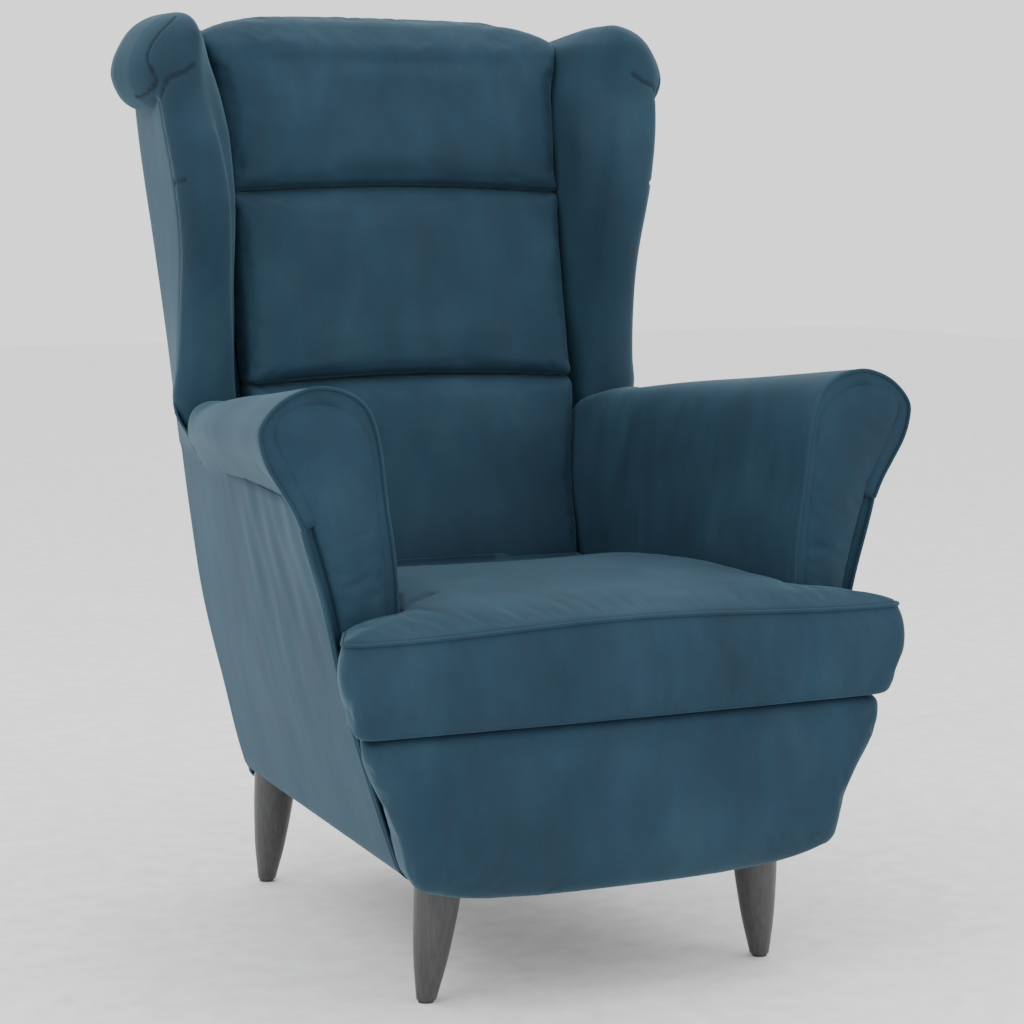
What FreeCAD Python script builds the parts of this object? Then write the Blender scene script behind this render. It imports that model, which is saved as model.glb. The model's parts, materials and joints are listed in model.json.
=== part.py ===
import FreeCAD, Part
import math
import os

from FreeCAD import Vector

# Wing armchair. X runs to the right as seen from the front, Y to the back, Z up. The origin is on
# the floor, at the middle of the chair's width and depth. Sizes are in millimetres.
# Every pair of parts is modelled on the right side (+X) and mirrored to the left.

# Overall
FRONT_Y = -395.0            # front of the seat cushion at its middle, behind its piping
FRONT_BOW = 5.0             # how far the middle of the front stands before its corners
BACK_FOOT_Y = 274.0         # outer back surface at the height BACK_FOOT_Z
BACK_FOOT_Z = 164.0
BACK_LEAN = 0.1385          # how far the outer back leans per millimetre of height
BACK_TOP_Z = 1066.0
FABRIC = 1.6                # velvet with its wadding
GAP = 0.3                   # clearance between soft parts and their neighbours

# Base frame
BASE_Z = 151.0              # underside of the rails
RAIL_TOP_Z = 290.0
RAIL_T = 24.0
BLOCK_TOP_Z = 200.0
FRONT_RAIL_Y = -352.0       # front face of the front rail
FRONT_RAIL_HALF = 228.0
REAR_HALF = 204.0           # outer face of the side rails and posts at the rear
POST_FRONT = -66.0          # post faces, measured from the outer back surface
POST_BACK = -6.0
POST_INNER_X = 160.0
POST_TOP_Z = 1022.0

# Legs: axis point on the floor, and lean of the axis per millimetre of height
LEG_TOP_Z = BASE_Z - 2.0
LEG_FRONT = (204.0, -294.0, -0.0957, -0.052)
LEG_REAR = (186.0, 257.0, -0.048, -0.145)
LEG_RADII = [(0, 10.0), (6, 11.3), (17, 13.2), (36, 16.6), (74, 21.3), (115, 24.8), (160, 26.3)]
GLIDE_R = 8.5
GLIDE_T = 3.5
BOLT_R = 4.0
BOLT_TOP_Z = 192.0

# Seat
SEAT_BOTTOM_Z = 304.0
SEAT_TOP_Z = 450.0          # above the crown
SEAT_CROWN = [(-400, 411), (-300, 424), (-150, 430), (0, 420), (130, 402)]
SEAT_HALF = 326.0           # half width across the ears at the front
SEAT_EAR_HALF = 299.0       # half width across the ears at their back
SEAT_CORNER = 20.0
SEAT_BACK_Y = 121.0
EAR_BACK_Y = -305.5
PIPING_R = 1.6
PIPING_Z = 408.0

# Front rail panel below the seat
PANEL_OUTLINE = [(304, 303), (298, 272), (282, 236), (262, 191), (254, 160)]
PANEL_CORNER = [(254, 160), (241, 135), (214, 122)]
PANEL_BOTTOM_Z = 121.0
PANEL_CORNER_R = 22.0

# Arms
ARM_FRONT_Y = -304.0        # plane of the arm facings
ARM_REAR_Y = 204.0
ARM_SKIN = [
    (236, 303), (236, 430), (240, 485), (247, 533), (253, 585), (260, 616), (272, 636), (294, 649),
    (328, 654), (358, 650), (379, 638), (390, 619), (391, 600), (383, 578), (368, 556), (353, 533),
    (344, 513)]
ARM_REAR_SKIN = [
    (183, 303), (183, 430), (187, 480), (195, 525), (202, 558), (210, 578), (222, 590), (238, 596),
    (258, 597), (274, 594), (285, 588), (291, 580), (293, 572), (292, 562), (289, 552), (286, 538),
    (284, 524)]
ARM_TAPERS = [(-304, 0), (-120, 0.33), (40, 0.6), (130, 0.8), (204, 1)]
FACING_SKIN = [
    (242, 306), (243, 430), (246, 485), (252, 533), (257, 585), (264, 611), (277, 628), (298, 641),
    (327, 645), (354, 641), (372, 631), (379, 614), (375, 597), (363, 573), (347, 542), (334, 511),
    (316, 450), (295, 362), (263, 245), (240, 170)]
FORMER_T = 18.0
FORMER_FRONT_Y = ARM_FRONT_Y + 8.0

# Outer side: x of the flat panel at the front of the arm and at the rear corner, by height
SIDE_FRONT_X = [(151, 239), (160, 242), (239, 268), (336, 296), (425, 316), (511, 340)]
SIDE_REAR_X = [
    (151, 207), (260, 230), (353, 248), (451, 258), (660, 273), (782, 283), (904, 294), (1060, 302)]
SIDE_BOTTOM_Z = 152.0
SIDE_TOP_Z = 511.0

# Wings: front edge y, outer x and inner x beside the back, by height
WING_FRONT_Y = [(604, 196), (725, 184), (868, 162), (930, 168), (985, 182)]
WING_OUTER_X = [(511, 278), (604, 301), (725, 297), (868, 310), (930, 319), (985, 329)]
WING_INNER_X = [(604, 211), (725, 214), (868, 217), (985, 224)]
WING_FLARE_X = [(604, 232), (725, 241), (868, 250), (985, 262)]
WING_BOTTOM_Z = 604.0
WING_TOP_Z = 948.0
# Scroll on top of a wing: centre x, y, z and radius of its sections, tapering to the back
SCROLL = [
    (290, 192, 1004, 30), (291, 198, 1004, 40), (293, 212, 1004, 49), (297, 240, 1005, 54),
    (301, 270, 1005, 56), (298, 305, 1005, 53), (283, 345, 1006, 45), (267, 379, 1007, 36)]

# Back channels: front surface beside the arms and wings, by height
BACK_FRONT_Y = [(330, 138), (400, 138), (620, 208), (855, 255), (1037, 296)]
CHANNELS = {"lower": (330, 626), "middle": (629, 858), "upper": (861, 1029)}
CHANNEL_HALF = [(330, 182), (450, 182), (626, 206), (855, 212), (1029, 219)]
CHANNEL_CROWN = 14.0

os.makedirs("parts", exist_ok=True)


def along(table, at):
    """Value of a table of (position, value) pairs at a position, straight between its rows."""
    for (low, first), (high, last) in zip(table, table[1:]):
        if at <= high:
            break
    return first + (last - first) * (at - low) / (high - low)


def back_plane(z):
    """Y of the outer back surface at a height."""
    return BACK_FOOT_Y + BACK_LEAN * (z - BACK_FOOT_Z)


def box(low, high):
    """Block between two corners."""
    size = [b - a for a, b in zip(low, high)]
    return Part.makeBox(*size, Vector(*low))


def closed(points):
    """Closed wire of straight edges."""
    return Part.makePolygon([Vector(*p) for p in points] + [Vector(*points[0])])


def prism(points, direction):
    """Polygon pushed along a direction."""
    return Part.Face(closed(points)).extrude(Vector(*direction))


def spline(points):
    """Smooth open edge through points."""
    curve = Part.BSplineCurve()
    curve.interpolate([Vector(*p) for p in points])
    return curve.toShape()


def cylinder(radius, start, end):
    """Round bar from one point to another."""
    axis = Vector(*end) - Vector(*start)
    return Part.makeCylinder(radius, axis.Length, Vector(*start), axis)


def mirrored(shape):
    """The same shape on the other side of the chair."""
    return shape.mirror(Vector(0, 0, 0), Vector(1, 0, 0))


def both(shapes):
    """Shapes with their mirror images."""
    right = list(shapes)
    return right + [mirrored(s) for s in right]


def save(node, solids):
    """Write one node as one STEP file."""
    shape = solids[0] if len(solids) == 1 else Part.makeCompound(solids)
    shape.exportStep("parts/%s.step" % node)


def save_pair(node, shape):
    """Write a right-hand node and its mirror image."""
    save(node + "_right", [shape])
    save(node + "_left", [mirrored(shape)])


def inset(points, distance):
    """Open path moved to the right of its own direction, corner by corner."""
    moved = []
    for i, (x, z) in enumerate(points):
        before = points[max(i - 1, 0)]
        after = points[min(i + 1, len(points) - 1)]
        run = math.hypot(after[0] - before[0], after[1] - before[1])
        across = ((after[1] - before[1]) / run, -(after[0] - before[0]) / run)
        moved.append((x + across[0] * distance, z + across[1] * distance))
    return moved


# ---------------------------------------------------------------- legs and their hardware

def leg_point(leg, z):
    """Point of a leg's axis at a height."""
    x, y, lean_x, lean_y = leg
    return Vector(x + lean_x * z, y + lean_y * z, z)


def leg_axis(leg):
    """Direction of a leg's axis, upwards."""
    return (leg_point(leg, 1.0) - leg_point(leg, 0.0)).normalize()


def turned_leg(leg):
    """Convex tapered leg, cut level at the frame and at its glide, bored for its bolt."""
    side = spline([(r, 0, s) for s, r in LEG_RADII])
    top = LEG_RADII[-1][0]
    ends = [(0, 0, 0), (LEG_RADII[0][1], 0, 0), (LEG_RADII[-1][1], 0, top), (0, 0, top)]
    edges = [
        Part.makeLine(Vector(*ends[0]), Vector(*ends[1])),
        side,
        Part.makeLine(Vector(*ends[2]), Vector(*ends[3])),
        Part.makeLine(Vector(*ends[3]), Vector(*ends[0]))]
    solid = Part.Face(Part.Wire(edges)).revolve(Vector(0, 0, 0), Vector(0, 0, 1), 360)
    turn = FreeCAD.Rotation(Vector(0, 0, 1), leg_axis(leg))
    solid.Placement = FreeCAD.Placement(leg_point(leg, 0.0), turn)
    level = box((0, -500, GLIDE_T), (400, 500, LEG_TOP_Z))
    bore = cylinder(BOLT_R, leg_point(leg, LEG_TOP_Z - 40), leg_point(leg, LEG_TOP_Z + 5))
    return solid.common(level).cut(bore)


def glide(leg):
    """Flat disc that the leg stands on."""
    foot = leg_point(leg, 0.0)
    return cylinder(GLIDE_R, foot, foot + Vector(0, 0, GLIDE_T))


def hanger_bolt(leg, radius=BOLT_R):
    """Headless bolt on the leg's axis, from the leg into the corner block."""
    return cylinder(radius, leg_point(leg, LEG_TOP_Z - 40), leg_point(leg, BOLT_TOP_Z))


def tee_nut(leg):
    """Flanged nut at the top of the corner block's bore."""
    low = leg_point(leg, BLOCK_TOP_Z - 16)
    mid = leg_point(leg, BLOCK_TOP_Z - 4)
    high = leg_point(leg, BLOCK_TOP_Z - 2)
    body = cylinder(6.0, low, mid)
    flange = cylinder(11.0, mid, high)
    return body.fuse(flange)


LEGS = {"front": LEG_FRONT, "rear": LEG_REAR}
for place, leg in LEGS.items():
    save_pair("leg_" + place, turned_leg(leg))
save("leg_glides", both(glide(leg) for leg in LEGS.values()))
save("leg_hanger_bolts", both(hanger_bolt(leg) for leg in LEGS.values()))
save("leg_tee_nuts", both(tee_nut(leg).cut(hanger_bolt(leg)) for leg in LEGS.values()))

# ---------------------------------------------------------------- seat box

FRONT_RAIL_BACK = FRONT_RAIL_Y + RAIL_T
SIDE_END_Y = back_plane(BLOCK_TOP_Z) + POST_FRONT
REAR_RAIL_Y = 246.0
FORMER_BACK_Y = FORMER_FRONT_Y + FORMER_T
BOLT_HEIGHTS = (228.0, 264.0)
DOWEL_HEIGHTS = (176.0, 262.0)


def side_rail_x(y):
    """Outer face of a side rail, running inwards towards the back."""
    return along([(FRONT_RAIL_BACK, FRONT_RAIL_HALF), (SIDE_END_Y, REAR_HALF)], y)


def frame_bolt(z, clearance=0.0):
    """Bolt through the foot of the arm former and the side rail, head outside."""
    y = FORMER_FRONT_Y + FORMER_T / 2
    shank = cylinder(3.0 + clearance, (198, y, z), (250, y, z))
    head = cylinder(6.5 + clearance, (246, y, z), (250 + 40 * (clearance > 0), y, z))
    return shank.fuse(head)


def frame_nut(z):
    """Flanged nut inside the side rail."""
    y = FORMER_FRONT_Y + FORMER_T / 2
    flange = cylinder(9.0, (199, y, z), (201.4, y, z))
    return flange.cut(cylinder(3.0, (190, y, z), (210, y, z)))


def dowels(reach=0.0):
    """Dowels from the front rail to a side rail, and from a rear block and post to the rear rail."""
    rods = []
    for z in DOWEL_HEIGHTS:
        x = side_rail_x(FRONT_RAIL_BACK) - RAIL_T / 2
        start = (x, FRONT_RAIL_BACK - 16 - reach, z)
        rods.append(cylinder(4.0, start, (x, FRONT_RAIL_BACK + 22 + reach, z)))
    y = REAR_RAIL_Y + 12
    start = (POST_INNER_X - 20 - reach, y, DOWEL_HEIGHTS[0])
    rods.append(cylinder(4.0, start, (POST_INNER_X + 20 + reach, y, DOWEL_HEIGHTS[0])))
    y = back_plane(DOWEL_HEIGHTS[1]) - 26
    start = (POST_INNER_X - 20 - reach, y, DOWEL_HEIGHTS[1])
    rods.append(cylinder(4.0, start, (POST_INNER_X + 20 + reach, y, DOWEL_HEIGHTS[1])))
    return rods


dowel_bores = Part.makeCompound(both(dowels(0.5)))
bolt_bores = Part.makeCompound(both(frame_bolt(z, 0.2) for z in BOLT_HEIGHTS))

front_rail = box((-FRONT_RAIL_HALF, FRONT_RAIL_Y, BASE_Z), (FRONT_RAIL_HALF, FRONT_RAIL_BACK, 298))
save("seat_front_rail", [front_rail.cut(dowel_bores)])

rear_rail = box((-POST_INNER_X, REAR_RAIL_Y, BASE_Z), (POST_INNER_X, REAR_RAIL_Y + 22, RAIL_TOP_Z))
save("seat_rear_rail", [rear_rail.cut(dowel_bores)])

SIDE_PLAN = [
    (side_rail_x(FRONT_RAIL_BACK), FRONT_RAIL_BACK, BASE_Z),
    (side_rail_x(SIDE_END_Y), SIDE_END_Y, BASE_Z),
    (side_rail_x(SIDE_END_Y) - RAIL_T, SIDE_END_Y, BASE_Z),
    (side_rail_x(FRONT_RAIL_BACK) - RAIL_T, FRONT_RAIL_BACK, BASE_Z)]
side_rail = prism(SIDE_PLAN, (0, 0, RAIL_TOP_Z - BASE_Z))
save_pair("seat_side_rail", side_rail.cut(bolt_bores).cut(dowel_bores))

front_block = prism([
    (side_rail_x(FRONT_RAIL_BACK) - RAIL_T, FRONT_RAIL_BACK, BASE_Z),
    (side_rail_x(-270) - RAIL_T, -270, BASE_Z),
    (165, -270, BASE_Z),
    (150, -290, BASE_Z),
    (150, FRONT_RAIL_BACK, BASE_Z)], (0, 0, BLOCK_TOP_Z - BASE_Z))
rear_block = box((POST_INNER_X, SIDE_END_Y, BASE_Z), (REAR_HALF, 268, BLOCK_TOP_Z))
blocks = []
for leg, block in ((LEG_FRONT, front_block), (LEG_REAR, rear_block)):
    bored = block.cut(hanger_bolt(leg, BOLT_R + 0.5)).cut(tee_nut(leg))
    blocks.append(bored.cut(dowel_bores))
save("corner_blocks", both(blocks))

save("frame_bolts", both(frame_bolt(z) for z in BOLT_HEIGHTS))
save("frame_nuts", both(frame_nut(z) for z in BOLT_HEIGHTS))
save("frame_dowels", both(dowels()))

# ---------------------------------------------------------------- seat springs

SPRING_WIRE_R = 1.8
SPRING_HALF = 20.0
SPRING_PITCH = 24.0
SPRING_Z = RAIL_TOP_Z + 5.0
SPRING_XS = [-150.0, -75.0, 0.0, 75.0, 150.0]
SPRING_FRONT_Y = FRONT_RAIL_BACK + 6.0
SPRING_RUNS = 23


def sinuous_spring(x):
    """Flat zigzag spring: cross runs joined by half circles, from front to back."""
    turn = SPRING_PITCH / 2
    reach = SPRING_HALF - turn
    edges = []
    side = 1
    for run in range(SPRING_RUNS):
        y = SPRING_FRONT_Y + run * SPRING_PITCH
        start = Vector(x - side * reach, y, SPRING_Z)
        end = Vector(x + side * reach, y, SPRING_Z)
        edges.append(Part.makeLine(start, end))
        if run < SPRING_RUNS - 1:
            middle = Vector(x + side * SPRING_HALF, y + turn, SPRING_Z)
            last = Vector(x + side * reach, y + SPRING_PITCH, SPRING_Z)
            edges.append(Part.Arc(end, middle, last).toShape())
        side = -side
    path = Part.Wire(edges)
    begin = edges[0].Vertexes[0].Point
    ring = Part.Wire(Part.makeCircle(SPRING_WIRE_R, begin, Vector(1, 0, 0)))
    return path.makePipeShell([ring], True, True)


def spring_clip(x, y, rail_y):
    """Strap from a rail to the end run of a spring, which lies in its bore."""
    beyond = 4.0 if y > rail_y else -4.0
    low = min(y + beyond, rail_y)
    high = max(y + beyond, rail_y)
    strap = box((x - 6, low, SPRING_Z - 4), (x + 6, high, SPRING_Z + 3))
    return strap.cut(cylinder(SPRING_WIRE_R + 0.1, (x - 8, y, SPRING_Z), (x + 8, y, SPRING_Z)))


SPRING_BACK_Y = SPRING_FRONT_Y + (SPRING_RUNS - 1) * SPRING_PITCH
save("seat_springs", [sinuous_spring(x) for x in SPRING_XS])
clips = [spring_clip(x, SPRING_FRONT_Y, FRONT_RAIL_BACK) for x in SPRING_XS]
clips += [spring_clip(x, SPRING_BACK_Y, REAR_RAIL_Y) for x in SPRING_XS]
save("spring_clips", clips)

insulator = prism([
    (-196, FRONT_RAIL_BACK, 299), (196, FRONT_RAIL_BACK, 299), (172, 216, 299), (-172, 216, 299)],
    (0, 0, 4))
save("spring_insulator_pad", [insulator])

# ---------------------------------------------------------------- seat cushion and front panel

SEAT_REAR_HALF = 190.0
ARM_INNER_X = 235.0


def plan_front(half, back_half, corner_back, mid_y, radius):
    """Edges of a bowed front with rounded corners and tapering sides, from left to right."""
    side_y = mid_y + FRONT_BOW
    shoulder = half - radius
    bend = radius * (1 - math.sqrt(0.5))
    bow = Part.Arc(Vector(-shoulder, side_y, 0), Vector(0, mid_y, 0), Vector(shoulder, side_y, 0))
    corners = []
    for side in (-1, 1):
        start = Vector(side * shoulder, side_y, 0)
        middle = Vector(side * (half - bend), side_y + bend, 0)
        end = Vector(side * half, side_y + radius, 0)
        corners.append(Part.Arc(start, middle, end).toShape())
    ends = [Vector(side * back_half, corner_back, 0) for side in (-1, 1)]
    starts = [Vector(side * half, side_y + radius, 0) for side in (-1, 1)]
    left = Part.makeLine(ends[0], starts[0])
    right = Part.makeLine(starts[1], ends[1])
    return [left, corners[0], bow.toShape(), corners[1], right]


def seat_plan(distance):
    """T-shaped outline of the cushion, moved inwards by a distance."""
    front = plan_front(SEAT_HALF, SEAT_EAR_HALF, EAR_BACK_Y, FRONT_Y, SEAT_CORNER)
    rear = [
        (SEAT_EAR_HALF, EAR_BACK_Y, 0), (ARM_INNER_X, EAR_BACK_Y, 0),
        (SEAT_REAR_HALF, SEAT_BACK_Y, 0), (-SEAT_REAR_HALF, SEAT_BACK_Y, 0),
        (-ARM_INNER_X, EAR_BACK_Y, 0), (-SEAT_EAR_HALF, EAR_BACK_Y, 0)]
    edges = front + [Part.makeLine(Vector(*a), Vector(*b)) for a, b in zip(rear, rear[1:])]
    wire = Part.Wire(Part.__sortEdges__(edges))
    if distance:
        wire = wire.makeOffset2D(-distance)
    return wire


def seat_body(distance, bottom):
    """Crowned cushion, moved inwards by a distance all round and on top."""
    block = Part.Face(seat_plan(distance)).extrude(Vector(0, 0, SEAT_TOP_Z - bottom))
    block.translate(Vector(0, 0, bottom))
    crown = [(-500, y, z - distance) for y, z in SEAT_CROWN]
    corners = [crown[-1], (-500, crown[-1][1], 200), (-500, crown[0][1], 200), crown[0]]
    edges = [spline(crown)] + [Part.makeLine(Vector(*a), Vector(*b)) for a, b in zip(corners, corners[1:])]
    return block.common(Part.Face(Part.Wire(edges)).extrude(Vector(1000, 0, 0)))


save("seat_foam", [seat_body(FABRIC + GAP, SEAT_BOTTOM_Z)])
save("seat_cover", [seat_body(0, SEAT_BOTTOM_Z).cut(seat_body(FABRIC, SEAT_BOTTOM_Z - 5))])

piping_out = PIPING_R + 0.1
rim_half = SEAT_HALF + piping_out
ear_half = SEAT_EAR_HALF + piping_out
rim = plan_front(rim_half, ear_half, EAR_BACK_Y, FRONT_Y - piping_out, SEAT_CORNER + piping_out)
rim_path = Part.Wire(rim)
rim_path.translate(Vector(0, 0, PIPING_Z))
rim_start = Vector(-ear_half, EAR_BACK_Y, PIPING_Z)
rim_ring = Part.Wire(Part.makeCircle(PIPING_R, rim_start, Vector(0, 1, 0)))
save("seat_piping", [rim_path.makePipeShell([rim_ring], True, True)])

PANEL_HALF = 306.0
PANEL_END_HALF = 286.0
PANEL_BACK_Y = -306.0
PANEL_MID_Y = FRONT_Y + 3.0


def panel_body(distance, top, back):
    """Padded front panel: bowed in plan, drawn in and rounded at its lower corners."""
    sides = [(x - distance, z) for x, z in PANEL_OUTLINE]
    corner = [(x - distance * 0.7, z + distance * 0.7) for x, z in PANEL_CORNER]
    bottom = PANEL_BOTTOM_Z + distance
    corner[-1] = (PANEL_CORNER[-1][0], bottom)
    corner[0] = sides[-1]
    sides[0] = (sides[0][0], top)
    edges = []
    for side in (1, -1):
        edges.append(spline([(side * x, 0, z) for x, z in sides]))
        edges.append(Part.Arc(*[Vector(side * x, 0, z) for x, z in corner]).toShape())
    reach = corner[-1][0]
    edges.append(Part.makeLine(Vector(-reach, 0, bottom), Vector(reach, 0, bottom)))
    edges.append(Part.makeLine(Vector(-sides[0][0], 0, top), Vector(sides[0][0], 0, top)))
    shape = Part.Face(Part.Wire(Part.__sortEdges__(edges))).extrude(Vector(0, -500, 0))
    end_x = PANEL_END_HALF - distance
    front = plan_front(PANEL_HALF - distance, end_x, back, PANEL_MID_Y + distance, PANEL_CORNER_R)
    closing = Part.makeLine(Vector(end_x, back, 0), Vector(-end_x, back, 0))
    plan = Part.Face(Part.Wire(Part.__sortEdges__(front + [closing]))).extrude(Vector(0, 0, 500))
    return shape.common(plan)


rail_room = box((-FRONT_RAIL_HALF - GAP, FRONT_RAIL_Y - GAP, 0), (FRONT_RAIL_HALF + GAP, 0, 500))
under_room = box((-500, FRONT_RAIL_Y - GAP, 0), (500, 0, BASE_Z))
panel_foam = panel_body(FABRIC + GAP, 303.4, PANEL_BACK_Y - GAP)
save("front_rail_foam", [panel_foam.cut(rail_room).cut(under_room)])
panel_cover = panel_body(0, 303.4, PANEL_BACK_Y).cut(panel_body(FABRIC, 310, PANEL_BACK_Y + 5))
save("front_rail_cover", [panel_cover.cut(under_room)])

# ---------------------------------------------------------------- arms

ARM_PAD = 24.0
ARM_PAD_THINNING = 0.45     # share of the pad's thickness lost between its front and rear ends
ARM_STATIONS = (-120.0, 40.0, 130.0, ARM_REAR_Y)


def arm_path(y, depth):
    """Arm's outline at a place between its front and rear sections, moved inwards by a depth."""
    share = along(ARM_TAPERS, y)
    if depth >= ARM_PAD / 2:
        depth = depth * (1 - ARM_PAD_THINNING * share)
    path = []
    for (front_x, front_z), (rear_x, rear_z) in zip(ARM_SKIN, ARM_REAR_SKIN):
        path.append((front_x + share * (rear_x - front_x), front_z + share * (rear_z - front_z)))
    return [(x, y, z) for x, z in inset(path, depth)]


def arm_band(outer, inner, front_y):
    """Layer that wraps the arm's inner face and its roll, between two depths."""
    sections = []
    for y in (front_y,) + ARM_STATIONS:
        outside = arm_path(y, outer)
        inside = arm_path(y, inner)
        edges = [
            spline(outside),
            Part.makeLine(Vector(*outside[-1]), Vector(*inside[-1])),
            spline(inside[::-1]),
            Part.makeLine(Vector(*inside[0]), Vector(*outside[0]))]
        sections.append(Part.Wire(edges))
    return Part.makeLoft(sections, True, True)


def arm_plug(depth, start_y, end_y):
    """Filling of the arm's section inside a depth, between two places near its rear end."""
    sections = []
    for y in (start_y, end_y):
        path = arm_path(y, depth)
        sections.append(Part.Wire([spline(path), Part.makeLine(Vector(*path[-1]), Vector(*path[0]))]))
    return Part.makeLoft(sections, True, True)


def front_plate(points, foot, y, thickness):
    """Flat plate in the plane of the arm's front: a smooth outline closed by a straight foot."""
    edges = [spline([(x, y, z) for x, z in points])]
    corners = [points[-1]] + foot + [points[0]]
    for a, b in zip(corners, corners[1:]):
        edges.append(Part.makeLine(Vector(a[0], y, a[1]), Vector(b[0], y, b[1])))
    return Part.Face(Part.Wire(edges)).extrude(Vector(0, thickness, 0))


FOOT_X = FRONT_RAIL_HALF - 1.0
former_edge = inset(FACING_SKIN, 1.5)[:-1]
former = front_plate(former_edge, [(250, 200), (FOOT_X, 200), (FOOT_X, 300)], FORMER_FRONT_Y, FORMER_T)
save_pair("arm_former", former.cut(bolt_bores))
facing = front_plate(FACING_SKIN, [(232, 170), (232, 303)], ARM_FRONT_Y, FORMER_FRONT_Y - ARM_FRONT_Y - GAP)
save_pair("arm_facing", facing)

TOP_RAIL_REAR_Y = 262.0


def rail_end(low_x, high_x, low_z, high_z, y):
    """Rectangular end of the arm's top rail."""
    return closed([(low_x, y, low_z), (high_x, y, low_z), (high_x, y, high_z), (low_x, y, high_z)])


rail_ends = [rail_end(307, 349, 586, 612, FORMER_BACK_Y), rail_end(228, 262, 533, 559, TOP_RAIL_REAR_Y)]
top_rail = Part.makeLoft(rail_ends, True, True)
save_pair("arm_top_rail", top_rail)

# ---------------------------------------------------------------- outer sides and wings

WING_START_Y = 206.0


def side_x(y, z):
    """X of the flat outer side: straight from its front edge to the rear corner."""
    rear_y = back_plane(z)
    if z <= SIDE_TOP_Z:
        ends = [(ARM_FRONT_Y, along(SIDE_FRONT_X, z)), (rear_y, along(SIDE_REAR_X, z))]
    else:
        ends = [(WING_START_Y, along(WING_OUTER_X, z)), (rear_y, along(SIDE_REAR_X, z))]
    return along(ends, y)


def side_slab(heights, start, outer, thickness, stop):
    """Thin panel parallel to the outer side, between two lines in Y and over some heights."""
    sections = []
    for z in heights:
        front = start(z)
        rear = back_plane(z) + stop
        inner = outer + thickness
        corners = ((front, outer), (rear, outer), (rear, inner), (front, inner))
        sections.append(closed([(side_x(y, z) - depth, y, z) for y, depth in corners]))
    return Part.makeLoft(sections, True, True)


def wing_seam_y(z):
    """Front edge of the flat side behind the arm and the wing's roll."""
    return WING_START_Y if z < WING_BOTTOM_Z else along(WING_FRONT_Y, z) + 30.0


LOWER_HEIGHTS = (SIDE_BOTTOM_Z, 239, 336, 425, SIDE_TOP_Z)
UPPER_HEIGHTS = (SIDE_TOP_Z, WING_BOTTOM_Z, 725, 868, WING_TOP_Z)
lower_cover = side_slab(LOWER_HEIGHTS, lambda z: ARM_FRONT_Y + 2, 0, FABRIC, -2.2)
upper_cover = side_slab(UPPER_HEIGHTS, wing_seam_y, 0, FABRIC, -2.2)
save_pair("side_cover", lower_cover.fuse(upper_cover))
side_board = side_slab((165, 239, 336, 425, 506), lambda z: FORMER_BACK_Y + 1, FABRIC + GAP, 3.0, -5.2)
save_pair("side_board", side_board)

side_room = side_slab(LOWER_HEIGHTS, lambda z: ARM_REAR_Y - 30, -60.0, 66.0, -2.2)
arm_end = arm_plug(ARM_PAD / 2, ARM_REAR_Y - 20, ARM_REAR_Y).cut(side_room).cut(top_rail)
arm_cap = arm_plug(0, ARM_REAR_Y, ARM_REAR_Y + FABRIC).cut(side_room).cut(top_rail)
arm_foam = arm_band(FABRIC + GAP, ARM_PAD, FORMER_BACK_Y + GAP)
save_pair("arm_foam", arm_foam.fuse(arm_end))
save_pair("arm_cover", arm_band(0, FABRIC, ARM_FRONT_Y + 2).fuse(arm_cap))

WING_SCREW_ZS = (713.0, 893.0)


def wing_screw(z, clearance=0.0):
    """Countersunk screw through the wing plywood into its spacer block."""
    y = back_plane(z) - 28
    outer = side_x(y, z) - 5.0
    radius = 2.0 + clearance
    head = Part.makeCone(4.2 + clearance, radius, 3.5, Vector(outer, y, z), Vector(-1, 0, 0))
    return head.fuse(cylinder(radius, (outer - 3.5, y, z), (outer - 42 - clearance, y, z)))


screw_bores = Part.makeCompound([wing_screw(z, 0.1) for z in WING_SCREW_ZS])
former_heights = (606, 725, 868, 945)
wing_former = side_slab(former_heights, lambda z: along(WING_FRONT_Y, z) + 28, 5.0, FORMER_T, -8.0)


def wing_path(z, distance):
    """Inner face, rolled front edge and outer shoulder of the wing at a height."""
    inner = along(WING_INNER_X, z) + distance
    flare = along(WING_FLARE_X, z) + distance
    front = along(WING_FRONT_Y, z) + distance
    outer = side_x(front + 20, z) - distance
    width = outer - flare
    rear = along(BACK_FRONT_Y, z) + 40
    roll = [(flare, front + 22), (flare + 0.12 * width, front + 7), (flare + 0.5 * width, front),
            (flare + 0.88 * width, front + 7), (outer, front + 24)]
    return [(inner, rear, z)], [(x, y, z) for x, y in roll]


def wing_foam_section(z):
    """Foam of the wing: inner face, front roll, and a rebate for the plywood."""
    start, roll = wing_path(z, FABRIC + GAP)
    step_y = roll[-1][1]
    rear = start[0][1]
    rebate = [(side_x(step_y, z) - 24, step_y, z), (side_x(rear, z) - 24, rear, z)]
    corners = [roll[-1]] + rebate + start + [roll[0]]
    edges = [spline(roll)]
    edges += [Part.makeLine(Vector(*a), Vector(*b)) for a, b in zip(corners, corners[1:])]
    return Part.Wire(edges)


def wing_cover_section(z):
    """Fabric of the wing, from beside the back round the front roll to the outer side."""
    start, outside = wing_path(z, 0)
    begin, inside = wing_path(z, FABRIC)
    edges = [
        Part.makeLine(Vector(*start[0]), Vector(*outside[0])),
        spline(outside),
        Part.makeLine(Vector(*outside[-1]), Vector(*inside[-1])),
        spline(inside[::-1]),
        Part.makeLine(Vector(*inside[0]), Vector(*begin[0])),
        Part.makeLine(Vector(*begin[0]), Vector(*start[0]))]
    return Part.Wire(edges)


WING_HEIGHTS = (WING_BOTTOM_Z, 725, 868, WING_TOP_Z)


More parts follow.
